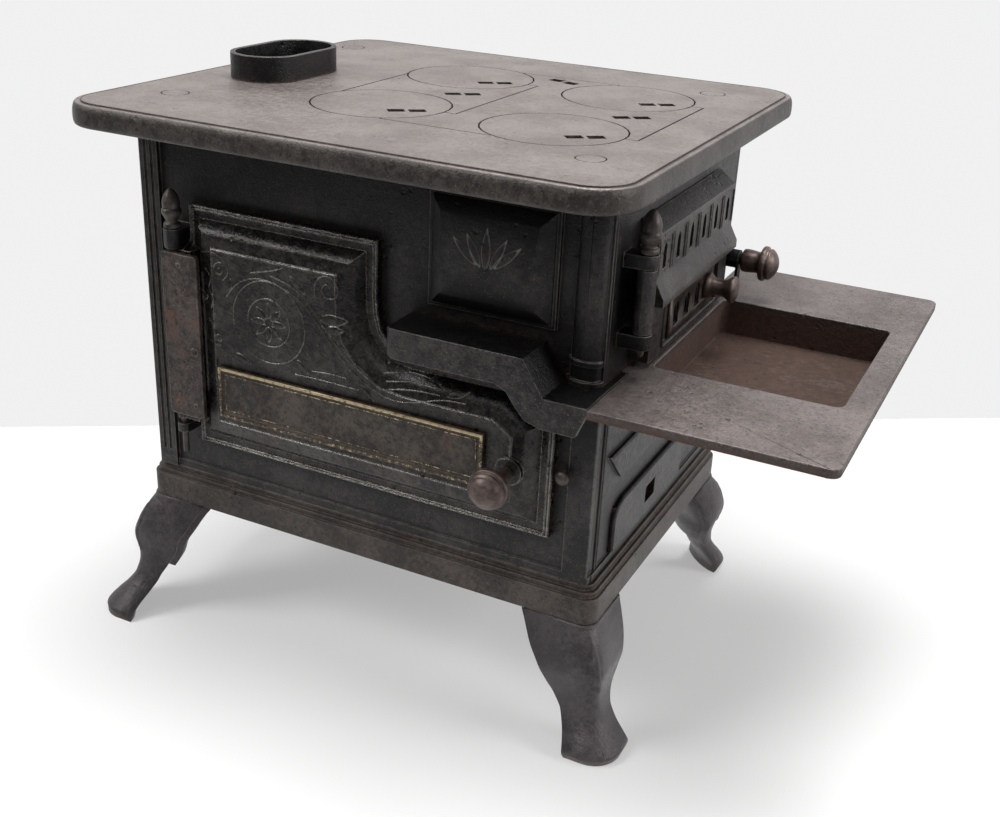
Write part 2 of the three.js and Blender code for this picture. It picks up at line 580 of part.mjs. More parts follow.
// Step ledge: the apron casting that carries the corner column and meets the hearth
function buildLedge() {
  const g = ledge;
  const upper = ledgeLine.top;
  const lower = ledgeLine.hearth;
  const face = new THREE.Shape();
  face.moveTo(g.left, upper - g.lip + g.round / 2);
  face.quadraticCurveTo(g.left, upper - g.lip, g.left + g.round, upper - g.lip);
  face.lineTo(g.stepLeft - g.rise, upper - g.lip);
  face.bezierCurveTo(g.stepLeft - g.rise / 4, upper - g.lip, g.stepLeft - g.rise / 3, lower - g.lip,
    g.stepRight, lower - g.lip);
  face.lineTo(g.right - g.slant, lower - g.lip);
  face.lineTo(g.right, lower - g.thick);
  face.lineTo(g.right, lower);
  face.lineTo(g.stepRight, lower);
  face.lineTo(g.stepLeft, upper);
  face.lineTo(g.left + g.round / 4, upper);
  face.lineTo(g.left, upper - g.round / 4);
  face.closePath();
  const plan = new THREE.Shape();
  plan.moveTo(g.left, front - seat);
  plan.lineTo(g.left, g.front + g.round);
  plan.quadraticCurveTo(g.left, g.front, g.left + g.round, g.front);
  plan.lineTo(g.right + overrun, g.front);
  plan.lineTo(g.right + overrun, front - seat);
  plan.closePath();
  const block = acrossFront(face, g.front, front - seat).intersect(
    standing(plan, lower - g.lip - overrun, upper + overrun));
  const inner = new THREE.Shape();
  inner.moveTo(g.left + g.thick, lower - g.lip - overrun);
  inner.lineTo(g.left + g.thick, upper - g.thick);
  inner.lineTo(g.stepLeft - g.thick / 2, upper - g.thick);
  inner.lineTo(g.stepRight - g.thick / 2, lower - g.thick);
  inner.lineTo(g.right + overrun, lower - g.thick);
  inner.lineTo(g.right + overrun, lower - g.lip - overrun);
  inner.closePath();
  const wrap = box([right + seat, front - seat - overrun, lower - g.thick], [g.right, g.back, lower]);
  const hollow = acrossFront(inner, g.front + g.thick, front + overrun);
  add("step_ledge", block.subtract(hollow).add(wrap), "iron");
}

// Hearth plate with its sunken well
const hearth = {
  right: 467, front: -221, back: 255, thick: 9, corner: 10,
  wellLeft: 277, wellRight: 440, wellFront: -95, wellBack: 128, deep: 38, wall: 5, wellCorner: 8, rib: 5 };

function buildHearth() {
  const h = hearth;
  const high = ledgeLine.hearth;
  const low = high - h.thick;
  const edge = ledge.right + seat;
  const plan = new THREE.Shape();
  plan.moveTo(edge, h.front);
  plan.absarc(h.right - h.corner, h.front + h.corner, h.corner, -Math.PI / 2, 0);
  plan.absarc(h.right - h.corner, h.back - h.corner, h.corner, 0, Math.PI / 2);
  plan.lineTo(right + seat, h.back);
  plan.lineTo(right + seat, ledge.back + seat);
  plan.lineTo(edge, ledge.back + seat);
  plan.closePath();
  const pan = standing(roundedBox(h.wellLeft - h.wall, h.wellFront - h.wall, h.wellRight + h.wall,
    h.wellBack + h.wall, h.wellCorner), high - h.deep - h.wall, low + overrun, 6);
  const well = standing(roundedBox(h.wellLeft, h.wellFront, h.wellRight, h.wellBack, h.wellCorner),
    high - h.deep, high + overrun, 6);
  const ribs = [h.wellFront - h.wall * 4, h.wellBack + h.wall * 4].map((y) =>
    box([edge + h.rib, y - h.rib / 2, low - h.rib * 2], [h.right - h.corner * 2, y + h.rib / 2, low + overrun]));
  add("hearth_plate", cut(join([standing(plan, low, high, 6), pan, ...ribs]), [well]), "hearth");
}

// Top plate, lids and the two lift-out centre plates
const lid = {
  radius: 68, gap: 1.3, ledge: 7, ledgeThick: 4.5, leftX: -39, rightX: 144, frontY: -84, backY: 102,
  rib: 50, ribWide: 5, ribDeep: 3 };
const middle = {
  left: -103, seam: 42, right: 226, armFront: -146, armBack: 164, armLeft: -4, armRight: 110,
  bar: 16, barDeep: 8, ledgeOut: 5 };
const slot = { length: 36, width: 12, offset: 2, bar: 4, deep: 6, cup: 1.5, angle: Math.PI * 0.22, bridge: 2.5,
  backX: 53.5, backY: 143, backAngle: -Math.PI * 0.07 };
const flue = { x: -203, y: -11, halfWidth: 38, halfLength: 68, wall: 5, height: 26, spigot: 10, step: 2 };
const lids = [
  ["lid_front_left", lid.leftX, lid.frontY], ["lid_back_left", lid.leftX, lid.backY],
  ["lid_front_right", lid.rightX, lid.frontY], ["lid_back_right", lid.rightX, lid.backY]];
const lidSlot = { x: 37, y: -15 };
const rest = plateTop - top.thick + seat;

// The stepped opening of the top plate, grown or shrunk by a distance
function topOpening(grow, low, high) {
  const m = middle;
  return join([
    ...lids.map(([, x, y]) => standing(circle(x, y, lid.radius + lid.gap + grow), low, high, roundSides / 2)),
    box([m.left - grow, lid.frontY - grow, low], [m.right + grow, lid.backY + grow, high]),
    box([m.armLeft - grow, m.armFront - grow, low], [m.armRight + grow, m.armBack + grow, high])]);
}

// A lifter slot: two pockets joined under a small bar, in a cup below the plate
function lifterSlot(x, y, angle = slot.angle) {
  const s = slot;
  const place = (geometry) => solid(geometry.rotateZ(angle).translate(x, y, 0));
  const bar = (length, width, shiftX, shiftY, low, high) =>
    place(new THREE.BoxGeometry(length, width, high - low).translate(shiftX, shiftY, (low + high) / 2));
  const half = (s.length - s.bar) / 2;
  const floor = plateTop - s.deep;
  return {
    through: bar(s.length, s.width, 0, 0, rest - overrun, plateTop - s.bridge),
    cup: bar(s.length + s.cup * 2, s.width + s.offset * 2 + s.cup * 2, 0, 0, floor - s.cup, rest + s.cup / 2),
    pockets: join([
      bar(half, s.width, -(half + s.bar) / 2, s.offset / 2, floor, plateTop + overrun),
      bar(half, s.width, (half + s.bar) / 2, -s.offset / 2, floor, plateTop + overrun),
      bar(s.length - s.cup, s.width - s.offset * 2, 0, 0, floor, plateTop - s.bridge)]) };
}

function buildTop() {
  const t = top;
  const m = middle;
  const under = plateTop - t.thick;
  const edge = outline(roundedBox(-t.length / 2, -t.depth / 2, t.length / 2, t.depth / 2, t.corner), 5);
  const shell = solid(layered([
    [inset(edge, t.edge), plateTop - t.skirt], [inset(edge, t.edge / 3), plateTop - t.skirt + t.edge / 2],
    [inset(edge, t.edge / 4), plateTop - t.edge * 2], [edge, plateTop - t.edge],
    [inset(edge, t.edge / 4), plateTop - t.edge / 4], [inset(edge, t.edge), plateTop]]));
  const hollow = solid(layered([
    [inset(edge, t.lip), plateTop - t.skirt - overrun], [inset(edge, t.lip), under]]));
  const ledgeLow = under - lid.ledgeThick;
  const rimOuter = topOpening(m.ledgeOut, ledgeLow, under + weld);
  const bar = box([m.seam - m.bar / 2, m.armFront, under - m.barDeep], [m.seam + m.bar / 2, m.armBack, under]);
  const deep = topOpening(-lid.ledge, ledgeLow - m.barDeep, under);
  const wide = topOpening(0, under, plateTop + overrun);
  const flueHole = standing(oval(flue.x, flue.y, flue.halfWidth - flue.step, flue.halfLength - flue.step),
    under - overrun, plateTop + overrun, ovalSides);
  const boltCuts = bolts.flatMap((b) => [
    rod(bolt.head + bolt.headGap, plateTop - bolt.headThick - seat, plateTop + overrun, "up", [b[1], b[2], 0],
      smallSides),
    boltHole(b, under - overrun, plateTop)]);
  const plate = cut(shell, [hollow]).add(rimOuter);
  add("top_plate", cut(plate, [deep, wide, flueHole, ...boltCuts]).add(bar), "top");

  const f = flue;
  const collar = cut(join([
    standing(oval(f.x, f.y, f.halfWidth, f.halfLength), plateTop + seat, plateTop + f.height, ovalSides),
    standing(oval(f.x, f.y, f.halfWidth - f.step - running, f.halfLength - f.step - running),
      plateTop - f.spigot, plateTop + f.height / 2, ovalSides)]), [
    standing(oval(f.x, f.y, f.halfWidth - f.wall, f.halfLength - f.wall), plateTop - f.spigot - overrun,
      plateTop + f.height + overrun, ovalSides)]);
  add("flue_collar", collar, "iron");
}

// A centre plate: its plan piece, plus ledges under the lids that rest on it
function centrePlate(name, plan, ownLids, slots, openSlots = []) {
  const ledgeHigh = rest - seat;
  const ledgeLow = ledgeHigh - lid.ledgeThick;
  const clearances = lids.map(([, x, y]) =>
    standing(circle(x, y, lid.radius + lid.gap), ledgeHigh, plateTop + overrun, roundSides / 2));
  const plate = cut(plan(rest, plateTop, 0), clearances);
  const inner = topOpening(-lid.ledge - running * 2, ledgeLow, rest + weld);
  const lidLedges = ownLids.map(([, x, y]) =>
    standing(circle(x, y, lid.radius + lid.gap + lid.ledge), ledgeLow, rest + lid.gap, roundSides / 2));
  const carried = join(lidLedges).intersect(plan(ledgeLow, rest + lid.gap, lid.gap)).intersect(
    inner.add(plan(rest, rest + lid.gap, 0)));
  const free = [
    ...ownLids.map(([, x, y]) =>
      standing(circle(x, y, lid.radius - lid.ledge), ledgeLow - overrun, rest + overrun, roundSides / 2)),
    ...clearances,
    box([middle.seam - middle.bar / 2 - running * 2, middle.armFront, ledgeLow - overrun],
      [middle.seam + middle.bar / 2 + running * 2, middle.armBack, ledgeHigh + seat / 2])];
  const whole = join([plate, cut(carried, free), ...slots.map((s) => s.cup)]);
  const pockets = [...slots, ...openSlots].map((s) => s.pockets);
  add(name, cut(whole, [...pockets, ...openSlots.map((s) => s.through)]), "top");
}

function buildLidsAndPlates() {
  const m = middle;
  const gap = lid.gap;
  const leftPlan = (low, high, shrink) => box(
    [m.left + gap + shrink, lid.frontY + gap + shrink, low],
    [m.seam - gap / 2 - shrink, lid.backY - gap - shrink, high]);
  const rightPlan = (low, high, shrink) => {
    const off = gap + shrink;
    const seam = m.seam + gap / 2 + shrink;
    return join([
      box([seam, lid.frontY + off, low], [m.right - off, lid.backY - off, high]),
      box([seam, m.armFront + off, low], [m.armRight - off, m.armBack - off, high]),
      box([m.armLeft + off, m.armFront + off, low], [m.armRight - off, lid.frontY - shrink, high]),
      box([m.armLeft + off, lid.backY + shrink, low], [m.armRight - off, m.armBack - off, high])]);
  };
  const middleY = (lid.frontY + lid.backY) / 2;
  centrePlate("centre_plate_left", leftPlan, lids.slice(0, 2),
    [lifterSlot(lid.leftX + lidSlot.x + gap * 2, middleY)]);
  centrePlate("centre_plate_right", rightPlan, lids.slice(2), [
    lifterSlot(lid.rightX + lidSlot.x + gap * 2, middleY)], [lifterSlot(slot.backX, slot.backY, slot.backAngle)]);
  for (const [name, x, y] of lids) {
    const ribOuter = lid.rib + lid.ribWide;
    const s = lifterSlot(x + lidSlot.x, y + lidSlot.y);
    const disc = join([
      rod(lid.radius, rest, plateTop, "up", [x, y, 0], roundSides),
      rod(ribOuter, rest - lid.ribDeep, rest + weld, "up", [x, y, 0], smallSides)
        .subtract(rod(lid.rib, rest - lid.ribDeep - overrun, rest + overrun, "up", [x, y, 0], smallSides)),
      s.cup]);
    add(name, cut(disc, [s.pockets]), "top");
  }
}

const domeShare = 0.7;

// Oven door: one casting with a beaded flange, a hollow bevel and a raised field
const door = {
  flange: 8, bead: 1.6, beadWide: 3, flat: 13, bevel: 23, rise: 23, shell: 5, rim: 12,
  linerGap: 4, liner: 2.5, knuckle: 6.5, knuckleHigh: 24 };
const bevelShare = [[0.25, 0.6], [0.5, 0.85], [1, 1]];
const strapFit = { below: 9, above: 1 };
const strap = {
  halfWidth: 18, low: hinge.lowerHigh + strapFit.above, high: hinge.upperLow - strapFit.below,
  thick: 3, round: 2, rivet: 4, rivetThick: 2 };
const badge = { left: 42, right: 64, low: 46, high: 101, thick: 4, rim: 4, sink: 1.6 };
const knobFit = { side: 38 };
const ovenKnob = {
  x: doorLine.right - knobFit.side, z: catchPeg.z, boss: 14, bossStand: 3, shank: 6.5, disc: 20, stand: 56,
  spindle: 4, hole: 2.6 };
const holeShare = 0.42;
const tongue = { long: 44.5, wide: 9, thick: 3, hub: 8, drop: Math.PI / 5, slotLow: 34, slotHigh: 7 };

const knobShare = [
  [0.42, 0.30], [0.36, 0.42], [0.40, 0.52], [0.62, 0.58], [0.92, 0.63], [1, 0.70], [1, 0.77], [0.90, 0.82],
  [0.84, 0.84], [0.84, 0.88], [0.62, 0.95], [0.30, 0.99], [0, 1]];

// A turned knob standing out from height zero to its full stand
function knobProfile(knob) {
  const head = knobShare.map(([r, h]) => [knob.disc * r, knob.stand * h]);
  return [[0, 0], [knob.shank, 0], [knob.shank, knob.stand / 5], ...head];
}

const hollowShare = 1.3;

function buildOvenDoor() {
  const d = door;
  const near = front - seat;
  const edge = outline(doorShape(), doorCurveSides);
  const shell = onFront(relief(edge, [
    [0, 0], [0, d.flange], [d.bead, d.flange + d.bead], [d.beadWide, d.flange],
    [d.beadWide + d.bead, d.flange + d.bead], [d.beadWide * 2, d.flange], [d.flat, d.flange],
    ...bevelShare.map(([across, up]) => [d.flat + d.bevel * across, d.flange + (d.rise - d.flange) * up]),
    [d.flat + d.bevel + d.bead, d.rise + d.bead],
    [d.flat + d.bevel + d.beadWide, d.rise]]), near);
  const cavity = onFront(relief(edge, [
    [d.rim, -overrun], [d.rim, d.flange - d.shell / 2], [d.flat + d.shell, d.flange - d.shell / 2],
    [d.flat + d.bevel / 2 + d.shell, d.rise - d.shell * hollowShare],
    [d.flat + d.bevel + d.shell, d.rise - d.shell]]), near);
  const field = front - seat - d.rise;
  const knuckleLow = hinge.lowerHigh + overrun * 2;
  const knuckleTop = hinge.upperLow - seat * 2;
  const knuckles = [knuckleTop - d.knuckleHigh, knuckleLow].map((low) => {
    const high = low + d.knuckleHigh;
    const ring = rod(d.knuckle, low, high, "up", [hinge.x, hinge.y, 0]);
    const web = box([hinge.x, near - d.flange, low], [doorLine.left + d.flat, near - seat, high]);
    const arm = box([hinge.x, hinge.y - d.knuckle / 2, low],
      [doorLine.left + d.rim, near - d.flange / 2, high]);
    const hole = rod(hinge.bore, low - overrun, high + overrun, "up", [hinge.x, hinge.y, 0]);
    return cut(join([ring, arm, web.intersect(arm.add(web))]), [hole]);
  });
  const k = ovenKnob;
  const holes = [
    rod(k.spindle + running, -overrun, d.rise * 2, "forward", [k.x, near, k.z]),
    box([doorLine.right - d.flat - overrun, near - d.flange + d.shell / 2, k.z - tongue.slotLow],
      [doorLine.right + overrun, near + overrun, k.z + tongue.slotHigh])];
  const pinPath = rod(hinge.bore, knuckleLow, knuckleTop, "up", [hinge.x, hinge.y, 0]);
  const boss = rod(k.boss, d.flange, d.rise + k.bossStand, "forward", [k.x, near, k.z], smallSides);
  add("oven_door", cut(join([shell.subtract(cavity), boss, ...knuckles]), [...holes, pinPath]), "iron");

  const linerEdge = inset(outline(mouthShape(0), doorCurveSides), d.linerGap);
  const liner = onFront(layered([[linerEdge, -d.liner], [linerEdge, 0]]), near);
  add("oven_door_liner", liner, "inside");

  const strapBack = hinge.y - d.knuckle - seat;
  const s = strap;
  const strapPlate = acrossFront(
    roundedBox(hinge.x - s.halfWidth, s.low, hinge.x + s.halfWidth, s.high, s.round),
    strapBack - s.thick, strapBack, 3);
  const rivets = [s.low + s.halfWidth, (s.low + s.high) / 2, s.high - s.halfWidth].map((z) =>
    rod(s.rivet, s.thick - seat, s.thick + s.rivetThick, "forward", [hinge.x + s.halfWidth / 2, strapBack, z]));
  add("hinge_strap", join([strapPlate, ...rivets]), "strap");

  const b = badge;
  const line = doorLine;
  const plateEdge = outline(polygon([
    [line.left + b.left, line.low + b.low], [line.right - b.right, line.low + b.low],
    [line.right - b.right, line.low + b.high], [line.left + b.left, line.low + b.high]]), 1);
  add("door_badge_plate", onFront(relief(plateEdge, [
    [0, seat], [0, b.thick], [b.rim, b.thick], [b.rim + b.sink, b.thick - b.sink]]),
  field - d.bead / 4), "badge");

  const rodTop = hinge.upperHigh + seat;
  add("oven_hinge_rod", turned(acornProfile(rodTop, hinge.pin, hinge.pinLow), "up", [hinge.x, hinge.y, 0]), "rod");

  const knobFoot = field - k.bossStand - seat;
  const head = turned(knobProfile(k), "forward", [k.x, knobFoot, k.z]);
  const spindleReach = d.rise + k.bossStand - d.flange / 2 - running;
  const spindle = rod(k.spindle, -spindleReach, overrun, "forward", [k.x, knobFoot, k.z]);
  const holeAt = [k.x, knobFoot - k.stand * holeShare, k.z];
  const crossHole = rod(k.hole, -k.disc, k.disc, "up", holeAt, smallSides / 2);
  add("oven_knob", cut(head.add(spindle), [crossHole]), "knob");

  const t = tongue;
  const tongueY = near - d.flange + d.shell / 2 + seat;
  const place = new THREE.Matrix4().makeRotationY(t.drop).setPosition(k.x, tongueY, k.z);
  const arm = new THREE.BoxGeometry(t.long, t.thick, t.wide)
    .translate(t.long / 2, t.thick / 2, 0)
    .applyMatrix4(place);
  const hubLow = -t.thick;
  const hub = rod(t.hub, hubLow, 0, "forward", [k.x, tongueY, k.z]);
  const hole = rod(k.spindle + seat, hubLow - overrun, overrun, "forward", [k.x, tongueY, k.z]);
  add("oven_latch_tongue", solid(arm).add(hub).subtract(hole), "rod");

  const c = catchPeg;
  add("oven_catch_peg", turned([
    [0, -c.tenon], [c.shank, -c.tenon], [c.shank, c.stand], [c.head, c.stand], [c.head, c.stand + c.headThick],
    [c.head * domeShare, c.stand + c.headThick + c.dome * domeShare], [0, c.stand + c.headThick + c.dome]],
  "forward", [c.x, front, c.z]), "rod");
}

const draft = {
  holes: 4, holeWide: 15, pitch: 32, holeAt: 9, holeTall: 24, thick: 2, end: 12, travel: 18, earThick: 4,
  earWide: 10, earOut: 24, earBack: 22 };
const dropKnob = { disc: 14.5, shank: 4.5, stand: 34 };

function archedHole(y, wide, low, high) {
  const shape = new THREE.Shape();
  shape.moveTo(y - wide / 2, low);
  shape.lineTo(y + wide / 2, low);
  shape.lineTo(y + wide / 2, high - wide);
  shape.quadraticCurveTo(y + wide / 2, high - wide / 3, y, high);
  shape.quadraticCurveTo(y - wide / 2, high - wide / 3, y - wide / 2, high - wide);
  shape.closePath();
  return shape;
}

function buildFireDoor() {
  const d = fireDoor;
  const wallX = right + seat * 3;
  const face = fireDoorFace;
  const low = fireDoorLow;
  const noseLow = low + d.noseAt;
  const crown = fireDoorHigh - d.crownDrop;
  const profile = polygon([
    [wallX, low], [face, low], [face, noseLow], [face + d.nose, noseLow], [face + d.nose, noseLow + d.noseThick],
    [face, noseLow + d.noseTall], [face, crown], [wallX, fireDoorHigh]]);
  const inner = polygon([
    [wallX - overrun, low + d.wall], [face - d.wall, low + d.wall], [face - d.wall, crown - d.wall],
    [wallX - overrun, fireDoorHigh - d.wall]]);
  const shell = acrossFront(profile, d.front, d.back).subtract(
    acrossFront(inner, d.front + d.wall, d.back - d.wall));
  const h = fireHinge;
  const knuckleLow = h.lowerHigh + seat * 2;
  const knuckleHigh = h.upperLow - seat * 2;
  const knuckle = join([
    rod(h.barrel - 1.5 * seat, knuckleLow, knuckleHigh, "up", [h.x, h.y, 0]),
    box([h.x - h.barrel / 2, h.y, knuckleLow], [face - seat, d.front + d.wall / 2, knuckleHigh])]);
  const bore = rod(h.bore, low, fireDoorHigh, "up", [h.x, h.y, 0]);
  const bayWide = (d.back - d.front) / d.arches;
  const archLow = low + d.archAt;
  const archHigh = archLow + d.archTall;
  const arches = Array.from({ length: d.arches }, (_, i) =>
    acrossEnd(archedHole(d.front + bayWide * (i + 1 / 2), d.archWide, archLow, archHigh),
      face - d.wall - overrun, face + overrun, 3));
  const blind = Array.from({ length: d.arches - 1 }, (_, i) =>
    acrossEnd(archedHole(d.front + bayWide * (i + 1), d.archWide / 2, archLow, archHigh - d.archWide),
      face - d.arcadeDeep, face + overrun, 3));
  const windowLow = low + d.windowAt;
  const windowHigh = windowLow + d.windowTall;
  const windowCut = box([face - d.windowDeep, d.windowFront, windowLow],
    [face + overrun, d.windowBack, windowHigh]);
  const n = draft;
  const firstHole = d.windowFront + n.end + n.holeWide / 2 + n.travel;
  const ventLow = windowLow + n.holeAt;
  const vents = (from, to) => Array.from({ length: n.holes }, (_, i) =>
    acrossEnd(archedHole(firstHole + i * n.pitch, n.holeWide, ventLow, ventLow + n.holeTall), from, to, 3));
  add("firebox_door", cut(shell.add(knuckle), [
    bore, ...arches, ...blind, windowCut, ...vents(face - d.wall - overrun, face)]), "iron");

  const slideX = face - d.windowDeep + seat;
  const slideLow = windowLow + running;
  const slideHigh = windowHigh - running;
  const slideBack = firstHole + (n.holes - 1) * n.pitch + n.holeWide / 2 + n.end;
  const slide = box([slideX, firstHole - n.holeWide / 2 - n.end, slideLow],
    [slideX + n.thick, slideBack, slideHigh]);
  const earY = slideBack - n.earBack;
  const earHigh = slideHigh - seat;
  const ear = box([slideX, earY - n.earWide / 2, earHigh - n.earThick],
    [slideX + n.earOut, earY + n.earWide / 2, earHigh]);
  add("draft_slide", cut(slide.add(ear), vents(slideX - overrun, slideX + overrun)), "rod");
  const hang = [slideX + n.earOut - n.earWide / 2, earY, earHigh - n.earThick - seat];
  add("draft_knob", turned(knobProfile(dropKnob), "down", hang), "knob");

  const rodTop = h.upperHigh + seat;
  add("firebox_hinge_rod", turned(acornProfile(rodTop, h.pin, h.pinLow), "up", [h.x, h.y, 0]), "rod");
}

const latchShare = [
  [0.32, 0], [0.32, 0.05], [0.64, 0.07], [0.66, 0.2], [0.6, 0.46], [0.72, 0.53], [1, 0.6], [1, 0.68], [0.9, 0.72],
  [0.88, 0.78], [0.62, 0.92], [0.3, 0.99], [0, 1]];
const turnLatch = { tongueLong: 30, tongueWide: 11, thick: 3, nut: 10, back: 4, hub: 10, clear: 6.5 };

function buildFireLatch() {
  const t = turnLatch;
  const at = [0, fireLatch.y, fireLatch.z];
  const face = fireDoorFace + t.clear;
  const spindle = rod(fireLatch.shank, innerRight - seat - t.back, face + t.thick, "right", at);
  const collar = rod(t.hub, right + seat, face + t.thick, "right", at);
  const nut = rod(t.nut, innerRight - seat - t.back, innerRight - seat, "right", at, bolt.nutSides);
  const finger = box([face, fireLatch.y - t.tongueWide / 2, fireLatch.z - t.tongueLong],
    [face + t.thick, fireLatch.y + t.tongueWide / 2, fireLatch.z]);
  add("firebox_latch", join([spindle, collar, nut, finger]), "iron");
  const profile = latchShare.map(([r, h]) => [latchKnob.disc * r, latchKnob.stand * h]);
  add("firebox_latch_knob",
    turned([[0, 0], ...profile], "right", [face + t.thick + seat, fireLatch.y, fireLatch.z]), "knob");
}

// Clean-out door: a lift-out plate with a lifter pocket, low in the firebox end
const cleanOutFit = { rise: 0.5, tall: 53.5 };
const cleanOut = {
  front: -115, back: 87, low: skirtTop + cleanOutFit.rise, high: skirtTop + cleanOutFit.rise + cleanOutFit.tall,
  shoulder: 18, proud: 5, plugGap: 2, plug: 7,
  pocketWide: 28, pocketHigh: 19, pocketDeep: 8, bevel: 2, pocketRise: 25.5 };

function buildCleanOut() {
  const c = cleanOut;
  const shape = new THREE.Shape();
  shape.moveTo(c.front, c.low);
  shape.lineTo(c.back, c.low);
  shape.lineTo(c.back, c.high - c.shoulder);
  shape.quadraticCurveTo(c.back - c.shoulder / 3, c.high, c.back - c.shoulder * 1.5, c.high);
  shape.lineTo(c.front + c.shoulder * 1.5, c.high);
  shape.quadraticCurveTo(c.front + c.shoulder / 3, c.high, c.front, c.high - c.shoulder);
  shape.closePath();
  const face = onEnd(relief(outline(shape, 6), [
    [0, 0], [0, c.proud - c.bevel], [c.bevel, c.proud]]), right + seat);
  const plugLap = endPanel.ashLap + c.plugGap;
  const plug = box([right + seat - c.plug, c.front + plugLap, c.low + plugLap],
    [right + seat + c.bevel, c.back - plugLap, c.high - plugLap]);
  const pocketY = (c.front + c.back) / 2;
  const pocketZ = c.low + c.pocketRise;
  const pocketX = right + seat + c.proud - c.pocketDeep;
  const pocket = box([pocketX, pocketY - c.pocketWide / 2, pocketZ - c.pocketHigh / 2],
    [right + c.proud + overrun, pocketY + c.pocketWide / 2, pocketZ + c.pocketHigh / 2]);
  add("clean_out_door", cut(face.add(plug), [pocket]), "iron");
}

buildBase();
buildLeg("leg_front_left", baseLeft, baseFront, -1, -1, leaning);
buildLeg("leg_front_right", baseRight, baseFront, 1, -1, straight);
buildLeg("leg_back_left", baseLeft, baseBack, -1, 1, straight);
buildLeg("leg_back_right", baseRight, baseBack, 1, 1, straight);
buildBottom();
buildFront();
buildWalls();
buildOven();
buildFirebox();
buildLedge();
buildHearth();
buildTop();
buildLidsAndPlates();
buildOvenDoor();
buildFireDoor();
buildFireLatch();
buildCleanOut();

// The origin is the middle of the bounding box, on the floor
const bounds = new THREE.Box3().setFromObject(stove);
const centre = bounds.getCenter(new THREE.Vector3());
stove.position.set(-centre.x, -centre.y, -bounds.min.z);

export default stove;
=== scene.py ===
# %% [markdown]
# A small cast iron cooking stove: four lids over a firebox and an L-shaped oven, a hearth with a sunken
# well, a moulded base and cabriole legs. The CAD model gives every casting its size and place, and this
# script gives them what iron from a sand mould has: soft edges, grain, wear, rust and turned knobs.
# Nothing that is added may make the stove bigger.

import math
from types import SimpleNamespace as Sizes

import bmesh
import bpy
from mathutils import Matrix, Vector
from mathutils.bvhtree import BVHTree


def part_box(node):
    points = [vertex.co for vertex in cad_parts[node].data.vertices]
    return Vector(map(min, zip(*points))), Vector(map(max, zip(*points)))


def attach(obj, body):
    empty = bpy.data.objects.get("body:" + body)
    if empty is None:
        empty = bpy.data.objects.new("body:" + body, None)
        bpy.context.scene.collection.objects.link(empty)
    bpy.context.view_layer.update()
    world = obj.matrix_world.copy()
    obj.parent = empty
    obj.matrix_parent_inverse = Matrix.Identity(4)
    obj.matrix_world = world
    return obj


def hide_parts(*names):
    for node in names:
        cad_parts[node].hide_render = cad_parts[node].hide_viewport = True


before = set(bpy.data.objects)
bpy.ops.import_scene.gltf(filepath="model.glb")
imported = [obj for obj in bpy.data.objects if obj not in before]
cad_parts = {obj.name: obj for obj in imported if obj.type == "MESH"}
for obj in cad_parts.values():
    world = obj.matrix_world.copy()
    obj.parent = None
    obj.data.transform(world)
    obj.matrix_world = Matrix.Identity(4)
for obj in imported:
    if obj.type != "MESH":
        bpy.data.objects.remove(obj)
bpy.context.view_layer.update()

# %% [markdown]
# A founder measures a stove from the middle of its top plate and from the floor. The same origin is used
# here, in millimetres, so that a knob or a leaf can be placed by the numbers that a rule would give.

# %% Places on the stove
MM = 0.001
top_low, top_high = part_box("top_plate")
ORIGIN = Vector(((top_low.x + top_high.x) / 2, (top_low.y + top_high.y) / 2, 0))


def at(x, y, z):
    """A point given in millimetres from the middle of the top plate and the floor."""
    return ORIGIN + Vector((x, y, z)) * MM


def box_mm(node):
    """The lowest and highest corner of a casting, in the stove's own millimetres."""
    low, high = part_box(node)
    return (low - ORIGIN) / MM, (high - ORIGIN) / MM


def middle_mm(node):
    return sum(box_mm(node), Vector()) / 2


print("top plate, mm:", [round(v) for v in box_mm("top_plate")[1] - box_mm("top_plate")[0]])

# %% [markdown]
# A finish is a node tree. Sums of masks are easier to read as sums, so a small class wraps the output of
# a node, and its operators add Math nodes. One method adds any node: it takes the type, the settings,
# and then the values or links of its sockets.

# %% A finish and its wires


class Wire:
    """The output of a node. Adding, subtracting or multiplying wires adds Math nodes."""

    def __init__(self, finish, socket):
        self.finish, self.socket = finish, socket

    def __add__(self, other):
        return self.finish.math("ADD", self, other)

    def __sub__(self, other):
        return self.finish.math("SUBTRACT", self, other)

    def __rsub__(self, other):
        return self.finish.math("SUBTRACT", other, self)

    def __mul__(self, other):
        return self.finish.math("MULTIPLY", self, other)

    __radd__ = __add__
    __rmul__ = __mul__


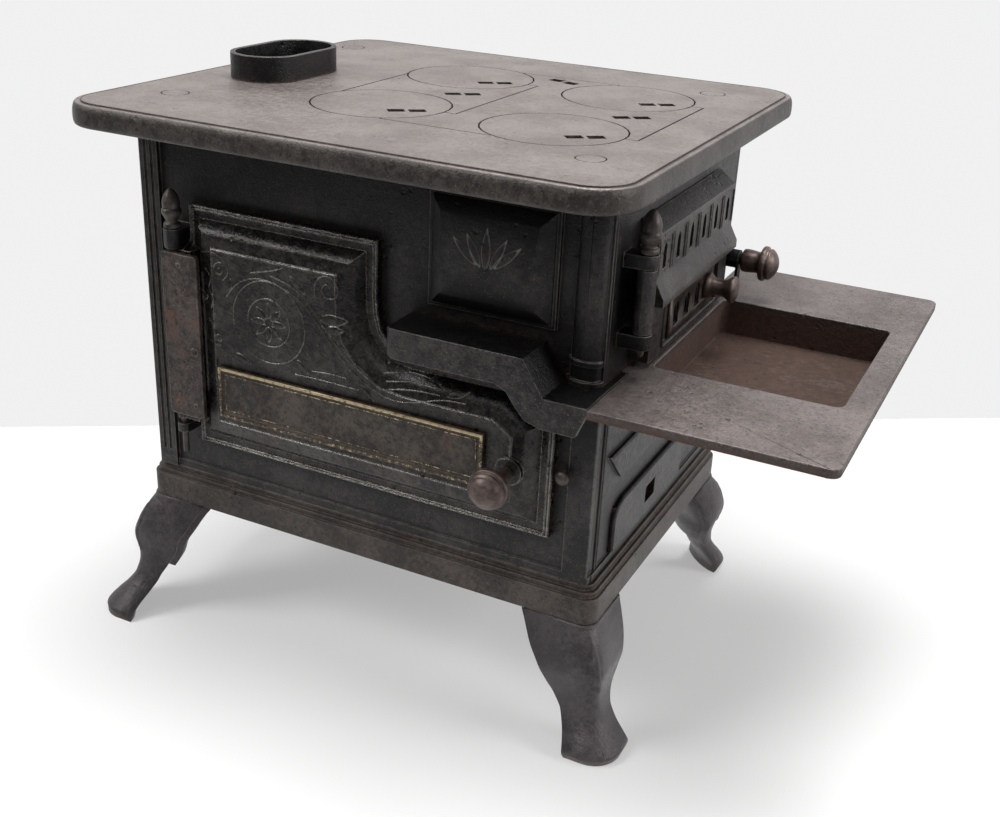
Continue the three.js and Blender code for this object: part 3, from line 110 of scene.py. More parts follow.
class Finish:
    """A material in the making, or the world, which has a node tree of the same kind."""

    def __init__(self, name, world=None):
        self.material = world or bpy.data.materials.new(name)
        self.material.use_nodes = True
        self.tree = self.material.node_tree
        self.tree.nodes.clear()

    def node(self, kind, settings=None, sockets=None, output=0):
        """Adds a node and returns one of its outputs."""
        made = self.tree.nodes.new(kind)
        for name, value in (settings or {}).items():
            setattr(made, name, value)
        for key, value in (sockets or {}).items():
            if isinstance(value, Wire):
                self.tree.links.new(value.socket, made.inputs[key])
            else:
                made.inputs[key].default_value = value
        return Wire(self, made.outputs[output]) if made.outputs else None

    def math(self, operation, a, b):
        return self.node("ShaderNodeMath", {"operation": operation}, {0: a, 1: b})

    def ramp(self, value, low, high):
        """0 below low, 1 above high, and smooth between. It falls where low is above high."""
        if low > high:
            return 1 - self.ramp(value, high, low)
        return self.node("ShaderNodeMapRange", {"interpolation_type": "SMOOTHSTEP"},
                         {"Value": value, "From Min": low, "From Max": high})

    def mix(self, mask, a, b):
        """Colour a where the mask is 0, and colour b where it is 1."""
        return self.node("ShaderNodeMix", {"data_type": "RGBA"}, {0: mask, 6: a, 7: b}, 2)

    def place(self):
        return self.node("ShaderNodeTexCoord", output="Object")

    def part(self, vector, axis):
        """One part of a vector: 0 is x, 1 is y and 2 is z."""
        return self.node("ShaderNodeSeparateXYZ", None, {0: vector}, axis)

    def noise(self, size, detail=3.0, spread=0.5, shift=0.0):
        """Cloudy noise whose lumps are about size millimetres across."""
        moved = self.node("ShaderNodeVectorMath", {"operation": "ADD"},
                          {0: self.place(), 1: (shift, shift, 0)})
        return self.node("ShaderNodeTexNoise", None,
                         {"Vector": moved, "Scale": 1 / (size * MM), "Detail": detail, "Roughness": spread})

    def pits(self, size, share, shift=0.0):
        """1 in scattered round pits, 0 elsewhere. share says how many there are."""
        cells = self.node("ShaderNodeTexVoronoi", None, {"Vector": self.place(), "Scale": 1 / (size * MM)})
        near = self.ramp(cells, 0.3, 0.12)
        return near * self.ramp(self.noise(size * 4, 2.0, shift=shift), 1 - share, 1.08 - share)

    def facing(self, axis):
        """How far the surface faces along an axis of the piece, from -1 to 1."""
        return self.part(self.node("ShaderNodeTexCoord", output="Normal"), axis)

    def edges(self, radius):
        """1 on the edges within radius millimetres, 0 on flat metal."""
        round_over = self.node("ShaderNodeBevel", {"samples": 4}, {"Radius": radius * MM})
        normal = self.node("ShaderNodeNewGeometry", output="Normal")
        turn = self.node("ShaderNodeVectorMath", {"operation": "DOT_PRODUCT"}, {0: round_over, 1: normal}, 1)
        return self.ramp(turn, 0.995, 0.9)

    def open_air(self, reach):
        """1 where nothing stands within reach millimetres, and less in corners and under laps."""
        return self.node("ShaderNodeAmbientOcclusion", {"samples": 4}, {"Distance": reach * MM}, 1)

    def bump(self, height, depth, under=None):
        """A surface whose height wire runs over depth millimetres."""
        sockets = {"Height": height, "Distance": depth * MM}
        if under is not None:
            sockets["Normal"] = under
        return self.node("ShaderNodeBump", None, sockets)

    def shine(self, kind, strength, colour=(1, 1, 1, 1)):
        return self.node(kind, None, {"Color": colour, "Strength": strength})

    def ray(self, kind):
        return self.node("ShaderNodeLightPath", output=kind)

    def blend(self, mask, a, b):
        """Shader a where the mask is 0, and shader b where it is 1."""
        return self.node("ShaderNodeMixShader", None, {0: mask, 1: a, 2: b})

    def done(self, sockets):
        """Ends the tree with the shader."""
        shader = self.node("ShaderNodeBsdfPrincipled", None, {"Specular IOR Level": 0.5, **sockets})
        self.node("ShaderNodeOutputMaterial", None, {"Surface": shader})
        return self.material


def paint(red, green, blue):
    """A colour as a swatch book gives it, 0 to 255, in the light values that the shader works with."""
    def linear(value):
        share = value / 255
        return share / 12.92 if share <= 0.04045 else ((share + 0.055) / 1.055) ** 2.4
    return (linear(red), linear(green), linear(blue), 1.0)


# %% [markdown]
# All the iron is the same metal in different states, so one recipe makes every finish. It lays a worn
# tone over a blacked one, rubs the edges bright, and lets rust grow in corners and patches. It can also
# paint shade: the colour goes nearly black in sheltered places, such as under the top's overhang. The
# relief is waves from the mould, grains of sand and a few gas pits. Faces that look up may take a paler
# tone, which is partly burnish and ash and partly painted light from above.

# %% The cast iron recipe
CORNER_REACH = 14
# How far a painted shade looks for shelter, in millimetres.
PAINTED_SHADE_REACH = 120
WORN_RIM = 1.6
SUNK = 6
RUST_TONES = ((112, 72, 48), (74, 52, 40))
PIT = paint(22, 18, 17)
# The near black tone of painted shade.
PAINTED_SHADE_TONE = paint(10, 9, 10)


def cast_iron(name, black, worn, bright, up=None, rust=0.15, grain=1.0, gloss=0.42, metal=0.35, edge=0.7,
              wave=0.25, painted_shade=0.0, seam=None, rust_below=None, rust_tones=RUST_TONES):
    """A finish. Its colours are swatches, its noise sizes millimetres, and the rest are shares."""
    f = Finish(name)
    black, worn, bright = (paint(*swatch) for swatch in (black, worn, bright))
    clouds = f.noise(60, 4.0, 0.6)
    mottle = f.noise(7, 4.0, 0.65, 3.1)
    sand = f.noise(1.9, 2.0, 0.7)
    colour = f.mix(f.ramp(clouds * 0.5 + mottle * 0.5, 0.4, 0.62), black, worn)
    # Painted light: faces that look up turn paler, partly from burnish and ash, partly as if lit from above.
    if up is not None:
        burnished_and_top_lit = f.mix(f.ramp(clouds * 0.6 + mottle * 0.4, 0.36, 0.64), *(paint(*swatch) for swatch in up))
        colour = f.mix(f.ramp(f.facing(2), 0.55, 0.9), colour, burnished_and_top_lit)
    colour = f.mix(f.ramp(sand, 0.58, 0.74) * (0.22 * grain), colour, bright)
    colour = f.mix(f.ramp(f.noise(3.2, 3.0, 0.6, 5.2), 0.46, 0.34) * (0.35 * grain), colour, PIT)
    # Painted shade: near black is laid where something stands within the reach, as under the top's overhang.
    if painted_shade:
        shade_mask = f.ramp(f.open_air(PAINTED_SHADE_REACH), 0.99, 0.66)
        colour = f.mix(shade_mask * painted_shade, colour, PAINTED_SHADE_TONE)
    rim = f.edges(WORN_RIM)
    rubbed = rim * f.ramp(clouds * 0.4 + mottle * 0.6, 0.22, 0.62) * edge
    colour = f.mix(rubbed, colour, paint(*seam) if seam else bright)
    corners = f.ramp(f.open_air(CORNER_REACH), 0.75, 0.25)
    patches = f.ramp(f.noise(38, 5.0, 0.7, 7.7), 0.66 - rust * 0.35, 0.8 - rust * 0.3)
    grown = f.math("MINIMUM", patches * (0.35 + rust) + corners * rust * 2, 0.9)
    grown = grown * f.ramp(mottle, 0.3, 0.6)
    if rust_below is not None:
        sunk = f.ramp(f.part(f.place(), 2), rust_below * MM, (rust_below - SUNK) * MM)
        grown = f.math("MAXIMUM", grown, sunk * f.ramp(clouds * 0.5 + mottle * 0.5, 0.2, 0.48))
    colour = f.mix(grown, colour, f.mix(mottle, *(paint(*swatch) for swatch in rust_tones)))
    pits = f.pits(9, 0.42, 1.3)
    colour = f.mix(pits * 0.5, colour, PIT)
    rough = gloss + f.ramp(mottle, 0.3, 0.7) * 0.14 + grown * 0.3 - rubbed * 0.1
    surface = f.bump(clouds, wave * 4)
    surface = f.bump(mottle, 0.35 + 0.15 * grain, surface)
    surface = f.bump(sand - pits * 1.5, 0.55 * grain, surface)
    return f.done({"Base Color": colour, "Roughness": rough, "Metallic": metal - grown * metal,
                   "Normal": surface})


# %% [markdown]
# The walls are blacked and hardly worn, and painted shade darkens them where they are sheltered, most
# under the top's overhang. The cooking top is burnished by pans to a pale warm grey, and its upward faces
# are painted paler still, as if lit from above. The base and legs have lost their blacking and show brown,
# and the hearth plate is pale with ash ground into it and with the same painted light on its upper faces.
# A picture of iron would stretch over the legs. The recipe works in space, so one finish fits every shape.

# %% The stove's iron finishes
# The walls, doors, base and badge field take painted shade where they are sheltered, and the cooking top and
# the hearth are painted paler where they face up.
body_iron = cast_iron("blacked body iron", (34, 32, 32), (64, 61, 60), (150, 146, 141), painted_shade=0.95,
                      grain=1.3, gloss=0.36, metal=0.5)
door_iron = cast_iron("polished door iron", (44, 42, 42), (72, 69, 67), (176, 172, 166),
                      painted_shade=0.4, grain=0.8, gloss=0.2, metal=0.75)
fire_iron = cast_iron("firebox door iron", (56, 53, 53), (92, 87, 86), (160, 154, 150),
                      painted_shade=0.5, grain=1.2, gloss=0.36, metal=0.5)
top_iron = cast_iron("burnished cooking top", (58, 54, 52), (80, 75, 72), (180, 172, 168),
                     up=((116, 107, 104), (140, 131, 128)), rust=0.08, grain=0.8, gloss=0.38,
                     metal=0.6, seam=(50, 42, 38))
base_iron = cast_iron("brown base iron", (50, 45, 43), (80, 73, 69), (136, 126, 118),
                      rust=0.28, grain=1.4, gloss=0.42, metal=0.5, painted_shade=0.3)
leg_iron = cast_iron("leg iron", (58, 54, 56), (82, 77, 79), (140, 132, 128),
                     rust=0.24, gloss=0.4, metal=0.5)
hearth_iron = cast_iron("ashen, top-lit hearth iron", (66, 60, 57), (84, 76, 72), (160, 152, 146),
                        up=((96, 87, 84), (124, 115, 113)), rust=0.2, grain=1.3, gloss=0.42,
                        metal=0.45, rust_below=383, rust_tones=((86, 60, 48), (46, 36, 33)))
print("iron finishes:", [m.name for m in (body_iron, door_iron, fire_iron, top_iron, base_iron, leg_iron)])

# %% [markdown]
# The small parts wear in their own ways. The hinge strap was never blacked and has rusted brown. Knobs
# are handled, so they are smooth and warm. Hinge rods stay clean. Inside, soot covers everything.

# %% The small parts' finishes
strap_iron = cast_iron("rusted hinge strap", (36, 31, 29), (80, 70, 66), (158, 148, 138),
                       rust=0.45, grain=1.6, gloss=0.42, metal=0.4, edge=1.1)
knob_iron = cast_iron("handled knob iron", (67, 55, 52), (109, 93, 87), (170, 158, 150),
                      rust=0.12, grain=0.35, gloss=0.34, metal=0.5, wave=0.08)
rod_iron = cast_iron("bare rod iron", (54, 49, 47), (84, 77, 73), (150, 144, 138),
                     rust=0.2, grain=0.5, gloss=0.36, metal=0.55, wave=0.08)
sooty_iron = cast_iron("sooty inner iron", (20, 18, 17), (38, 32, 28), (70, 60, 52),
                       rust=0.45, gloss=0.72, metal=0.1, edge=0.2)
GOLD_KEPT = (312, 322)


def worn_gold():
    """Gold paint that the upper border still has most of. The others are worn to iron."""
    f = Finish("worn gold paint")
    mottle = f.noise(5, 4.0, 0.7)
    fine = f.noise(1.2, 2.0, 0.6)
    gold = f.mix(mottle, paint(206, 190, 156), paint(146, 124, 88))
    kept = f.ramp(f.part(f.place(), 2), GOLD_KEPT[0] * MM, GOLD_KEPT[1] * MM)
    lost = f.ramp(mottle * 0.6 + fine * 0.4 - kept * 0.12, 0.38, 0.5)
    colour = f.mix(lost, gold, paint(62, 52, 42))
    return f.done({"Base Color": colour, "Roughness": 0.42 + lost * 0.2, "Metallic": 0.5 - lost * 0.2,
                   "Normal": f.bump(mottle + fine * 0.5, 0.2)})


badge_gold = worn_gold()
badge_field = cast_iron("pitted badge field", (28, 24, 22), (76, 69, 62), (116, 102, 80),
                        rust=0.3, grain=2.0, gloss=0.5, metal=0.2, painted_shade=0.2)
print("small finishes:", [m.name for m in (strap_iron, knob_iron, rod_iron, sooty_iron, badge_gold)])

# %% [markdown]
# A casting leaves the mould with soft edges. The CAD solids stay as they are, and modifiers soften them: a
# node group joins the split corners and shades every face smooth, a Bevel rounds what turns by more than
# 30 degrees, and weighted normals keep the flats flat.

# %% Soften the castings' edges
WELD = 0.01


def casting_cleaner():
    """A modifier tree that joins split corners and shades every face smooth."""
    tree = bpy.data.node_groups.new("clean casting", "GeometryNodeTree")
    tree.interface.new_socket("Geometry", in_out="INPUT", socket_type="NodeSocketGeometry")
    tree.interface.new_socket("Geometry", in_out="OUTPUT", socket_type="NodeSocketGeometry")
    steps = [tree.nodes.new(kind) for kind in (
        "NodeGroupInput", "GeometryNodeMergeByDistance", "GeometryNodeRemoveAttribute",
        "GeometryNodeSetShadeSmooth", "GeometryNodeSetShadeSmooth", "NodeGroupOutput")]
    steps[1].inputs["Distance"].default_value = WELD * MM
    steps[2].inputs["Name"].default_value = "custom_normal"
    steps[3].domain = "FACE"
    steps[4].domain = "EDGE"
    for before, after in zip(steps, steps[1:]):
        tree.links.new(before.outputs[0], after.inputs[0])
    return tree


CLEANER = casting_cleaner()
print("cleaner nodes:", [node.bl_label for node in CLEANER.nodes])


def soften(obj, width, segments=2, turn=30):
    """Rounds the edges of a casting by width millimetres, without touching its mesh."""
    clean = obj.modifiers.new("clean", "NODES")
    clean.node_group = CLEANER
    bevel = obj.modifiers.new("soft edges", "BEVEL")
    bevel.width = width * MM
    bevel.segments = segments
    bevel.limit_method = "ANGLE"
    bevel.angle_limit = math.radians(turn)
    bevel.use_clamp_overlap = False
    normals = obj.modifiers.new("flat flats", "WEIGHTED_NORMAL")
    normals.keep_sharp = False
    return obj


# %% [markdown]
# Each casting now gets its finish and its edge. Finely moulded pieces take a small radius, and the plates
# that a hand slides along take a wider one.

# %% Finish every casting
FINISH_OF_SLOT = {
    "cooktop_iron": top_iron, "body_iron": body_iron, "base_iron": base_iron, "hearth_iron": hearth_iron,
    "rusty_strap": strap_iron, "worn_gold_paint": body_iron, "knob_iron": knob_iron, "bright_iron": rod_iron,
    "sooty_iron": sooty_iron}
FINISH_OF_NODE = {"oven_door": door_iron, "door_badge_plate": badge_field, "firebox_door": fire_iron}
EDGE = {"top_plate": 0.8, "front_plate": 0.7, "right_end_plate": 0.7, "oven_door": 0.45, "hearth_plate": 1.4,
        "step_ledge": 1.4, "base_frame": 1.0, "firebox_door": 0.6, "clean_out_door": 0.7, "hinge_strap": 0.6,
        "door_badge_plate": 0.35, "back_plate": 0.8, "left_end_plate": 0.8, "draft_slide": 0.35,
        "firebox_latch": 0.6}
PLAIN_EDGE = 0.4
for name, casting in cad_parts.items():
    slot_name = casting.data.materials[0].name.split(".")[0]
    casting.data.materials.clear()
    casting.data.materials.append(FINISH_OF_NODE.get(name, FINISH_OF_SLOT[slot_name]))
    soften(casting, EDGE.get(name, PLAIN_EDGE))
print("finished castings:", len(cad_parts))

# %% [markdown]
# New pieces are built as meshes in code. Each rides on the body that carries it, names its finish, and may
# stand for a plainer CAD node in the same place.

# %% Make a piece


def placed(name, data):
    """An object for a mesh, a curve, a lamp or a camera, in the scene."""
    made = bpy.data.objects.new(name, data)
    bpy.context.scene.collection.objects.link(made)
    return made


def piece(name, bm, finish, body, slot, *stands_for):
    """Turns a bmesh into a piece of the stove."""
    bmesh.ops.recalc_face_normals(bm, faces=bm.faces)
    for face in bm.faces:
        face.smooth = True
    mesh = bpy.data.meshes.new(name)
    bm.to_mesh(mesh)
    bm.free()
    mesh.materials.append(finish)
    made = placed(name, mesh)
    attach(made, body)
    if stands_for:
        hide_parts(*stands_for)
    return made


def skin(rings, band=False, bm=None):
    """Joins rings of points with four-sided faces, and closes the ends or joins them into a band."""
    if bm is None:
        bm = bmesh.new()
    loops = [[bm.verts.new(point) for point in ring] for ring in rings]
    count = len(loops[0])
    for low, high in zip(loops, [*loops[1:], loops[0]] if band else loops[1:]):
        for i in range(count):
            bm.faces.new((low[i], low[(i + 1) % count], high[(i + 1) % count], high[i]))
    if not band:
        bm.faces.new(loops[0][::-1])
        bm.faces.new(loops[-1])
    return bm


def rounded(profile, passes=2):
    """Cuts the corners of an open profile, pass by pass, so that it turns softly. The ends stay."""
    for _ in range(passes):
        cut = [profile[0]]
        for (ax, ay), (bx, by) in zip(profile, profile[1:]):
            cut += [(ax * (1 - t) + bx * t, ay * (1 - t) + by * t) for t in (0.25, 0.75)]
        profile = [*cut, profile[-1]]
    return profile


# %% [markdown]
# Knobs, finials and pegs come from turned patterns, so each is a profile spun about its axis. The profile
# is a few pairs of radius and height, and cutting its corners twice gives the soft rings of a real one.

# %% Turned pieces
POINTING = {"up": Matrix.Identity(4), "down": Matrix.Rotation(math.pi, 4, "X"),
            "forward": Matrix.Rotation(math.pi / 2, 4, "X"), "right": Matrix.Rotation(math.pi / 2, 4, "Y")}
TURNED_SIDES = 48
THIN = 0.02


def scaled(shares, radius, tall, foot=0):
    """A profile from shares of a radius and of a height."""
    return [(radius * across, foot + tall * up) for across, up in shares]


def turned(profile, way, where, passes=2):
    """A closed mesh from pairs of radius and height in millimetres, turned about its axis."""
    line = rounded([(max(radius, THIN), height) for radius, height in profile], passes)
    bm = skin([[Vector((radius * math.cos(a), radius * math.sin(a), height)) * MM
                for a in (2 * math.pi * i / TURNED_SIDES for i in range(TURNED_SIDES))]
               for radius, height in line])
    bm.transform(Matrix.Translation(where) @ POINTING[way])
    return bm


# %% [markdown]
# The oven knob stands on a shank with a cross hole for a wire handle or a tool. Above a narrow flange its
# crown is a low dome rubbed pale by hands. Its foot and its radius are the CAD knob's. The hole can't be
# turned, so it is drilled with a Boolean, and the helper for that serves every other cut.

# %% The oven knob
knob_low, knob_high = box_mm("oven_knob")
KNOB = Sizes(disc=(knob_high.z - knob_low.z) / 2, stand=56, shank=6.5, hole=2.6, hole_at=0.42, drill=25)
KNOB_SHARES = [(0.36, 0.34), (0.36, 0.46), (0.42, 0.54), (0.66, 0.57), (0.94, 0.6), (1, 0.65), (1, 0.71),
               (0.95, 0.74), (0.86, 0.745), (0.84, 0.77), (0.9, 0.79), (0.9, 0.82), (0.8, 0.85),
               (0.77, 0.86), (0.74, 0.89), (0.5, 0.955), (0.22, 0.99), (0, 1)]
knob_middle = middle_mm("oven_knob")
knob_foot = knob_low.y + KNOB.stand
knob_line = [(0, 0), (KNOB.shank, 0), (KNOB.shank, KNOB.stand * 0.24),
             *scaled(KNOB_SHARES, KNOB.disc, KNOB.stand)]
knob_mesh = turned(knob_line, "forward", at(knob_middle.x, knob_foot, knob_middle.z))
oven_knob = piece("oven_knob_turned", knob_mesh, knob_iron, "oven_latch", "knob_iron", "oven_knob")


def combined(obj, bm, operation):
    """Cuts a mesh out of a piece, joins it on or keeps what both share. Nothing of the tool stays behind."""
    bmesh.ops.recalc_face_normals(bm, faces=bm.faces)
    tool_mesh = bpy.data.meshes.new("tool")
    bm.to_mesh(tool_mesh)
    bm.free()
    tool = placed("tool", tool_mesh)
    step = obj.modifiers.new("step", "BOOLEAN")
    step.operation = operation
    step.object = tool
    result = bpy.data.meshes.new_from_object(obj.evaluated_get(bpy.context.evaluated_depsgraph_get()))
    obj.modifiers.clear()
    old = obj.data
    obj.data = result
    bpy.data.meshes.remove(old)
    bpy.data.objects.remove(tool)
    bpy.data.meshes.remove(tool_mesh)


drill = turned([(0, -KNOB.drill), (KNOB.hole, -KNOB.drill), (KNOB.hole, KNOB.drill), (0, KNOB.drill)], "up",
               at(knob_middle.x, knob_foot - KNOB.stand * KNOB.hole_at, knob_middle.z), 0)
combined(oven_knob, drill, "DIFFERENCE")
print("oven knob faces:", len(oven_knob.data.polygons))

# %% [markdown]
# The latch knob beside the firebox door is fatter: a barrel of a shank, a flange, then a dome. The catch
# peg is a round-headed pin. Both are turned like the first knob, so only their profiles are new.

# %% The other knobs
latch_low, latch_high = box_mm("firebox_latch_knob")
latch_middle = middle_mm("firebox_latch_knob")
LATCH_DISC = 18.5
LATCH_SHARES = [(0, 0), (0.34, 0), (0.36, 0.05), (0.62, 0.07), (0.67, 0.13), (0.66, 0.3), (0.6, 0.46),
                (0.66, 0.52), (0.96, 0.56), (1, 0.6), (1, 0.66), (0.96, 0.69), (0.88, 0.7), (0.87, 0.75),
                (0.9, 0.77), (0.86, 0.81), (0.66, 0.9), (0.36, 0.97), (0, 1)]
latch_stand = latch_high.x - latch_low.x
piece("firebox_latch_knob_turned",
      turned(scaled(LATCH_SHARES, LATCH_DISC, latch_stand), "right",
             at(latch_low.x, latch_middle.y, latch_middle.z)),
      knob_iron, "firebox_latch", "knob_iron", "firebox_latch_knob")

peg_low, peg_high = box_mm("oven_catch_peg")
peg_middle = middle_mm("oven_catch_peg")
PEG_HEAD = 7
PEG_SHARES = [(0, 0), (3 / 7, 0), (3 / 7, 0.66), (1, 0.66), (1, 0.86), (0.7, 0.95), (0, 1)]
piece("catch_peg_turned",
      turned(scaled(PEG_SHARES, PEG_HEAD, peg_high.y - peg_low.y), "forward",
             at(peg_middle.x, peg_high.y, peg_middle.z), 1),
      rod_iron, "stove", "bright_iron", "oven_catch_peg")
print("latch knob stands", round(latch_stand), "mm and the peg", round(peg_high.y - peg_low.y), "mm")

# %% [markdown]
# Each door hangs on a rod that drops through the lugs and ends in an acorn: a cup with a rim, then the nut
# with its point. The rods keep the CAD length, and the acorn is turned more finely.

# %% The acorn hinge rods
ACORN = Sizes(radius=10, tall=40)
ACORN_SHARES = [(0.84, 0), (0.86, 0.06), (0.84, 0.12), (0.6, 0.15), (0.58, 0.19), (0.74, 0.26), (0.98, 0.36),
                (1, 0.42), (0.98, 0.47), (0.86, 0.5), (0.88, 0.56), (0.9, 0.63), (0.84, 0.72), (0.66, 0.84),
                (0.36, 0.94), (0.2, 0.97), (0, 1)]


def hinge_rod(node, pin_radius):
    low, high = box_mm(node)
    middle = middle_mm(node)
    cup = high.z - ACORN.tall
    profile = [(0, low.z), (pin_radius * 0.7, low.z), (pin_radius, low.z + pin_radius), (pin_radius, cup),
               *scaled(ACORN_SHARES, ACORN.radius, ACORN.tall, cup)]
    return piece(node + "_turned", turned(profile, "up", at(middle.x, middle.y, 0), 1), rod_iron, "stove",
                 "bright_iron", node)


for rod_node, pin in (("oven_hinge_rod", 3.4), ("firebox_hinge_rod", 4)):
    rod = hinge_rod(rod_node, pin)
    print(rod.name, "vertices:", len(rod.data.vertices))

# %% [markdown]
# Each leg is a hollow corner with an S in its outer edge: out over the knee, in at the ankle, and out again
# to a flat toe. The CAD leg has eleven levels. Here a smooth curve through the same shares gives many more,
# and a leaf is raised on the knee.

# %% Curves through a table of shares


def through(shares, values, share):
    """A smooth curve through a table, that doesn't overshoot between two equal values."""
    i = max(k for k in range(len(shares) - 1) if shares[k] <= share or k == 0)
    span = shares[i + 1] - shares[i]
    t = (share - shares[i]) / span

    def slope(k):
        if k in (0, len(shares) - 1):
            return 0.0 if k else (values[1] - values[0]) / (shares[1] - shares[0])
        before = (values[k] - values[k - 1]) / (shares[k] - shares[k - 1])
        after = (values[k + 1] - values[k]) / (shares[k + 1] - shares[k])
        return 0.0 if before * after <= 0 else 2 * before * after / (before + after)

    a, b = values[i], values[i + 1]
    rise_a, rise_b = slope(i) * span, slope(i + 1) * span
    return ((2 * a - 2 * b + rise_a + rise_b) * t ** 3 + (3 * b - 3 * a - 2 * rise_a - rise_b) * t ** 2
            + rise_a * t + a)


# %% The legs' shares and their leaf
LEG = Sizes(tall=138, wing=72, wall=7, bow=0.12, levels=56, arc=18, back=9, hollow=0.4,
            leaf=2.0, rim=0.7, rim_at=0.055, rim_wide=0.012, clear=0.3)
leg_height_share = [0, 0.05, 0.12, 0.2, 0.3, 0.42, 0.55, 0.65, 0.78, 0.9, 1]
leg_out_share = [0.56, 0.58, 0.49, 0.35, 0.235, 0.195, 0.22, 0.25, 0.195, 0.1, 0.014]
leg_wing_share = [0.67, 0.71, 0.65, 0.57, 0.53, 0.61, 0.78, 0.875, 0.96, 0.985, 1]
leg_round_share = [0.6, 0.6, 0.56, 0.46, 0.38, 0.3, 0.25, 0.24, 0.22, 0.2, 0.2]
KNEE_LEAVES = ((0.56, 0.93, 0.42, 0.0), (0.5, 0.72, 0.22, 0.62), (0.5, 0.72, 0.22, -0.62))


def leaf_height(turn, share):
    """How far the knee's leaves stand out, from -1 to 1 round the corner and a share up the leg."""
    height = 0.0
    for tip, root, half, lean in KNEE_LEAVES:
        along = (share - tip) / (root - tip)
        if 0 < along < 1:
            wide = half * math.sin(math.pi * along ** 0.75) ** 0.7
            across = abs(turn - lean * (1 - along) ** 0.8) / wide
            if across < 1:
                vein = 0.35 * max(0.0, 1 - across * 5)
                height = max(height, (1 - across ** 4) ** 0.5 * (0.75 + 0.25 * across) - vein)
    return height


def leg_ring(out, wing, nose, height, relief):
    """One level of a leg: a bowed back, two walls and a rounded corner with relief on it."""
    bow = wing * LEG.bow
    points = []
    for i in range(LEG.back):
        t = i / (LEG.back - 1)
        belly = bow * math.sin(math.pi * t) ** 0.6
        points.append((out[0] - wing * (1 - t) - belly, out[1] - wing * t - belly, height))
    for i in range(LEG.arc + 1):
        turn = i / LEG.arc
        stand = nose + relief(2 * turn - 1)
        angle = turn * math.pi / 2
        points.append((out[0] - nose + stand * math.cos(angle),
                       out[1] - nose + stand * math.sin(angle), height))
    return points


def leg_level(share, lean):
    reach = LEG.wing * through(leg_height_share, leg_out_share, share)
    out = [reach + far * (1 - share) ** 2 for far in lean]
    wing = LEG.wing * through(leg_height_share, leg_wing_share, share)
    return out, wing, wing * through(leg_height_share, leg_round_share, share)


def leg(name, corner, toward, lean):
    """A leg on one corner of the base: the outside upwards, then the hollow inside downwards."""
    rings = []
    levels = LEG.levels
    for i in (*range(levels + 1), *range(levels, int(levels * LEG.hollow), -2)):
        share = i / levels
        out, wing, nose = leg_level(share, lean)
        height = LEG.tall * share - (LEG.clear if share == 1 else 0)
        if len(rings) <= levels:
            toe = LEG.rim * math.exp(-((share - LEG.rim_at) / LEG.rim_wide) ** 2)
            rings.append(leg_ring(out, wing, nose, height,
                                  lambda turn, s=share, rim=toe: LEG.leaf * leaf_height(turn, s) + rim))
        else:
            rings.append(leg_ring([o - LEG.wall for o in out], wing, nose / 2, height, lambda turn: 0))
    bm = skin(rings)
    size = Matrix.Diagonal((toward[0] * MM, toward[1] * MM, MM, 1))
    bm.transform(Matrix.Translation(at(*corner, 0)) @ size)
    return piece(name + "_cast", bm, leg_iron, "stove", "base_iron", name)


base_low, base_high = box_mm("base_frame")
LEGS = (("leg_front_left", (base_low.x, base_low.y), (-1, -1), (0, 20)),
        ("leg_front_right", (base_high.x, base_low.y), (1, -1), (0, -12)),
        ("leg_back_left", (base_low.x, base_high.y), (-1, 1), (0, 0)),
        ("leg_back_right", (base_high.x, base_high.y), (1, 1), (-24, 8)))
for leg_name, leg_corner, leg_toward, leg_lean in LEGS:
    made_leg = leg(leg_name, leg_corner, leg_toward, leg_lean)
    print(made_leg.name, "faces:", len(made_leg.data.polygons))

# %% [markdown]
# The draft slide is a strip of plate behind the window of the firebox door, with a small spool to push it
# by, and its arched holes let air in where they line up. It is a plate from which the arches are cut.

# %% The draft slide and its spool
slide_low, slide_high = box_mm("draft_slide")
SLIDE = Sizes(thick=2, wide=15, pitch=32, end=12, foot=8.4, tall=24, holes=4, past=2)
SPOOL = Sizes(disc=14, stand=33, seat=0.2)
SPOOL_SHARES = [(0, 0), (0.82, 0), (0.95, 0.03), (0.97, 0.09), (0.9, 0.15), (0.7, 0.22), (0.6, 0.36),
                (0.59, 0.52), (0.66, 0.64), (0.84, 0.74), (0.98, 0.81), (1, 0.87), (0.96, 0.92), (0.88, 0.93),
                (0.84, 0.95), (0.56, 0.99), (0, 1)]


def block(low, high):
    """A box between two corners in the stove's millimetres."""
    corners = ((low[0], low[1]), (high[0], low[1]), (high[0], high[1]), (low[0], high[1]))
    return skin([[at(x, y, z) for x, y in corners] for z in (low[2], high[2])])


def arch(middle_y, foot_z, wide, tall, from_x, to_x, steps=10):
    """A round-headed hole through a plate that stands across the X axis."""
    radius = wide / 2
    line = [(-radius, 0), (radius, 0), *[(radius * math.cos(math.pi * i / steps), tall - radius +
            radius * math.sin(math.pi * i / steps)) for i in range(steps + 1)]]
    return skin([[at(x, middle_y + y, foot_z + z) for y, z in line] for x in (from_x, to_x)])


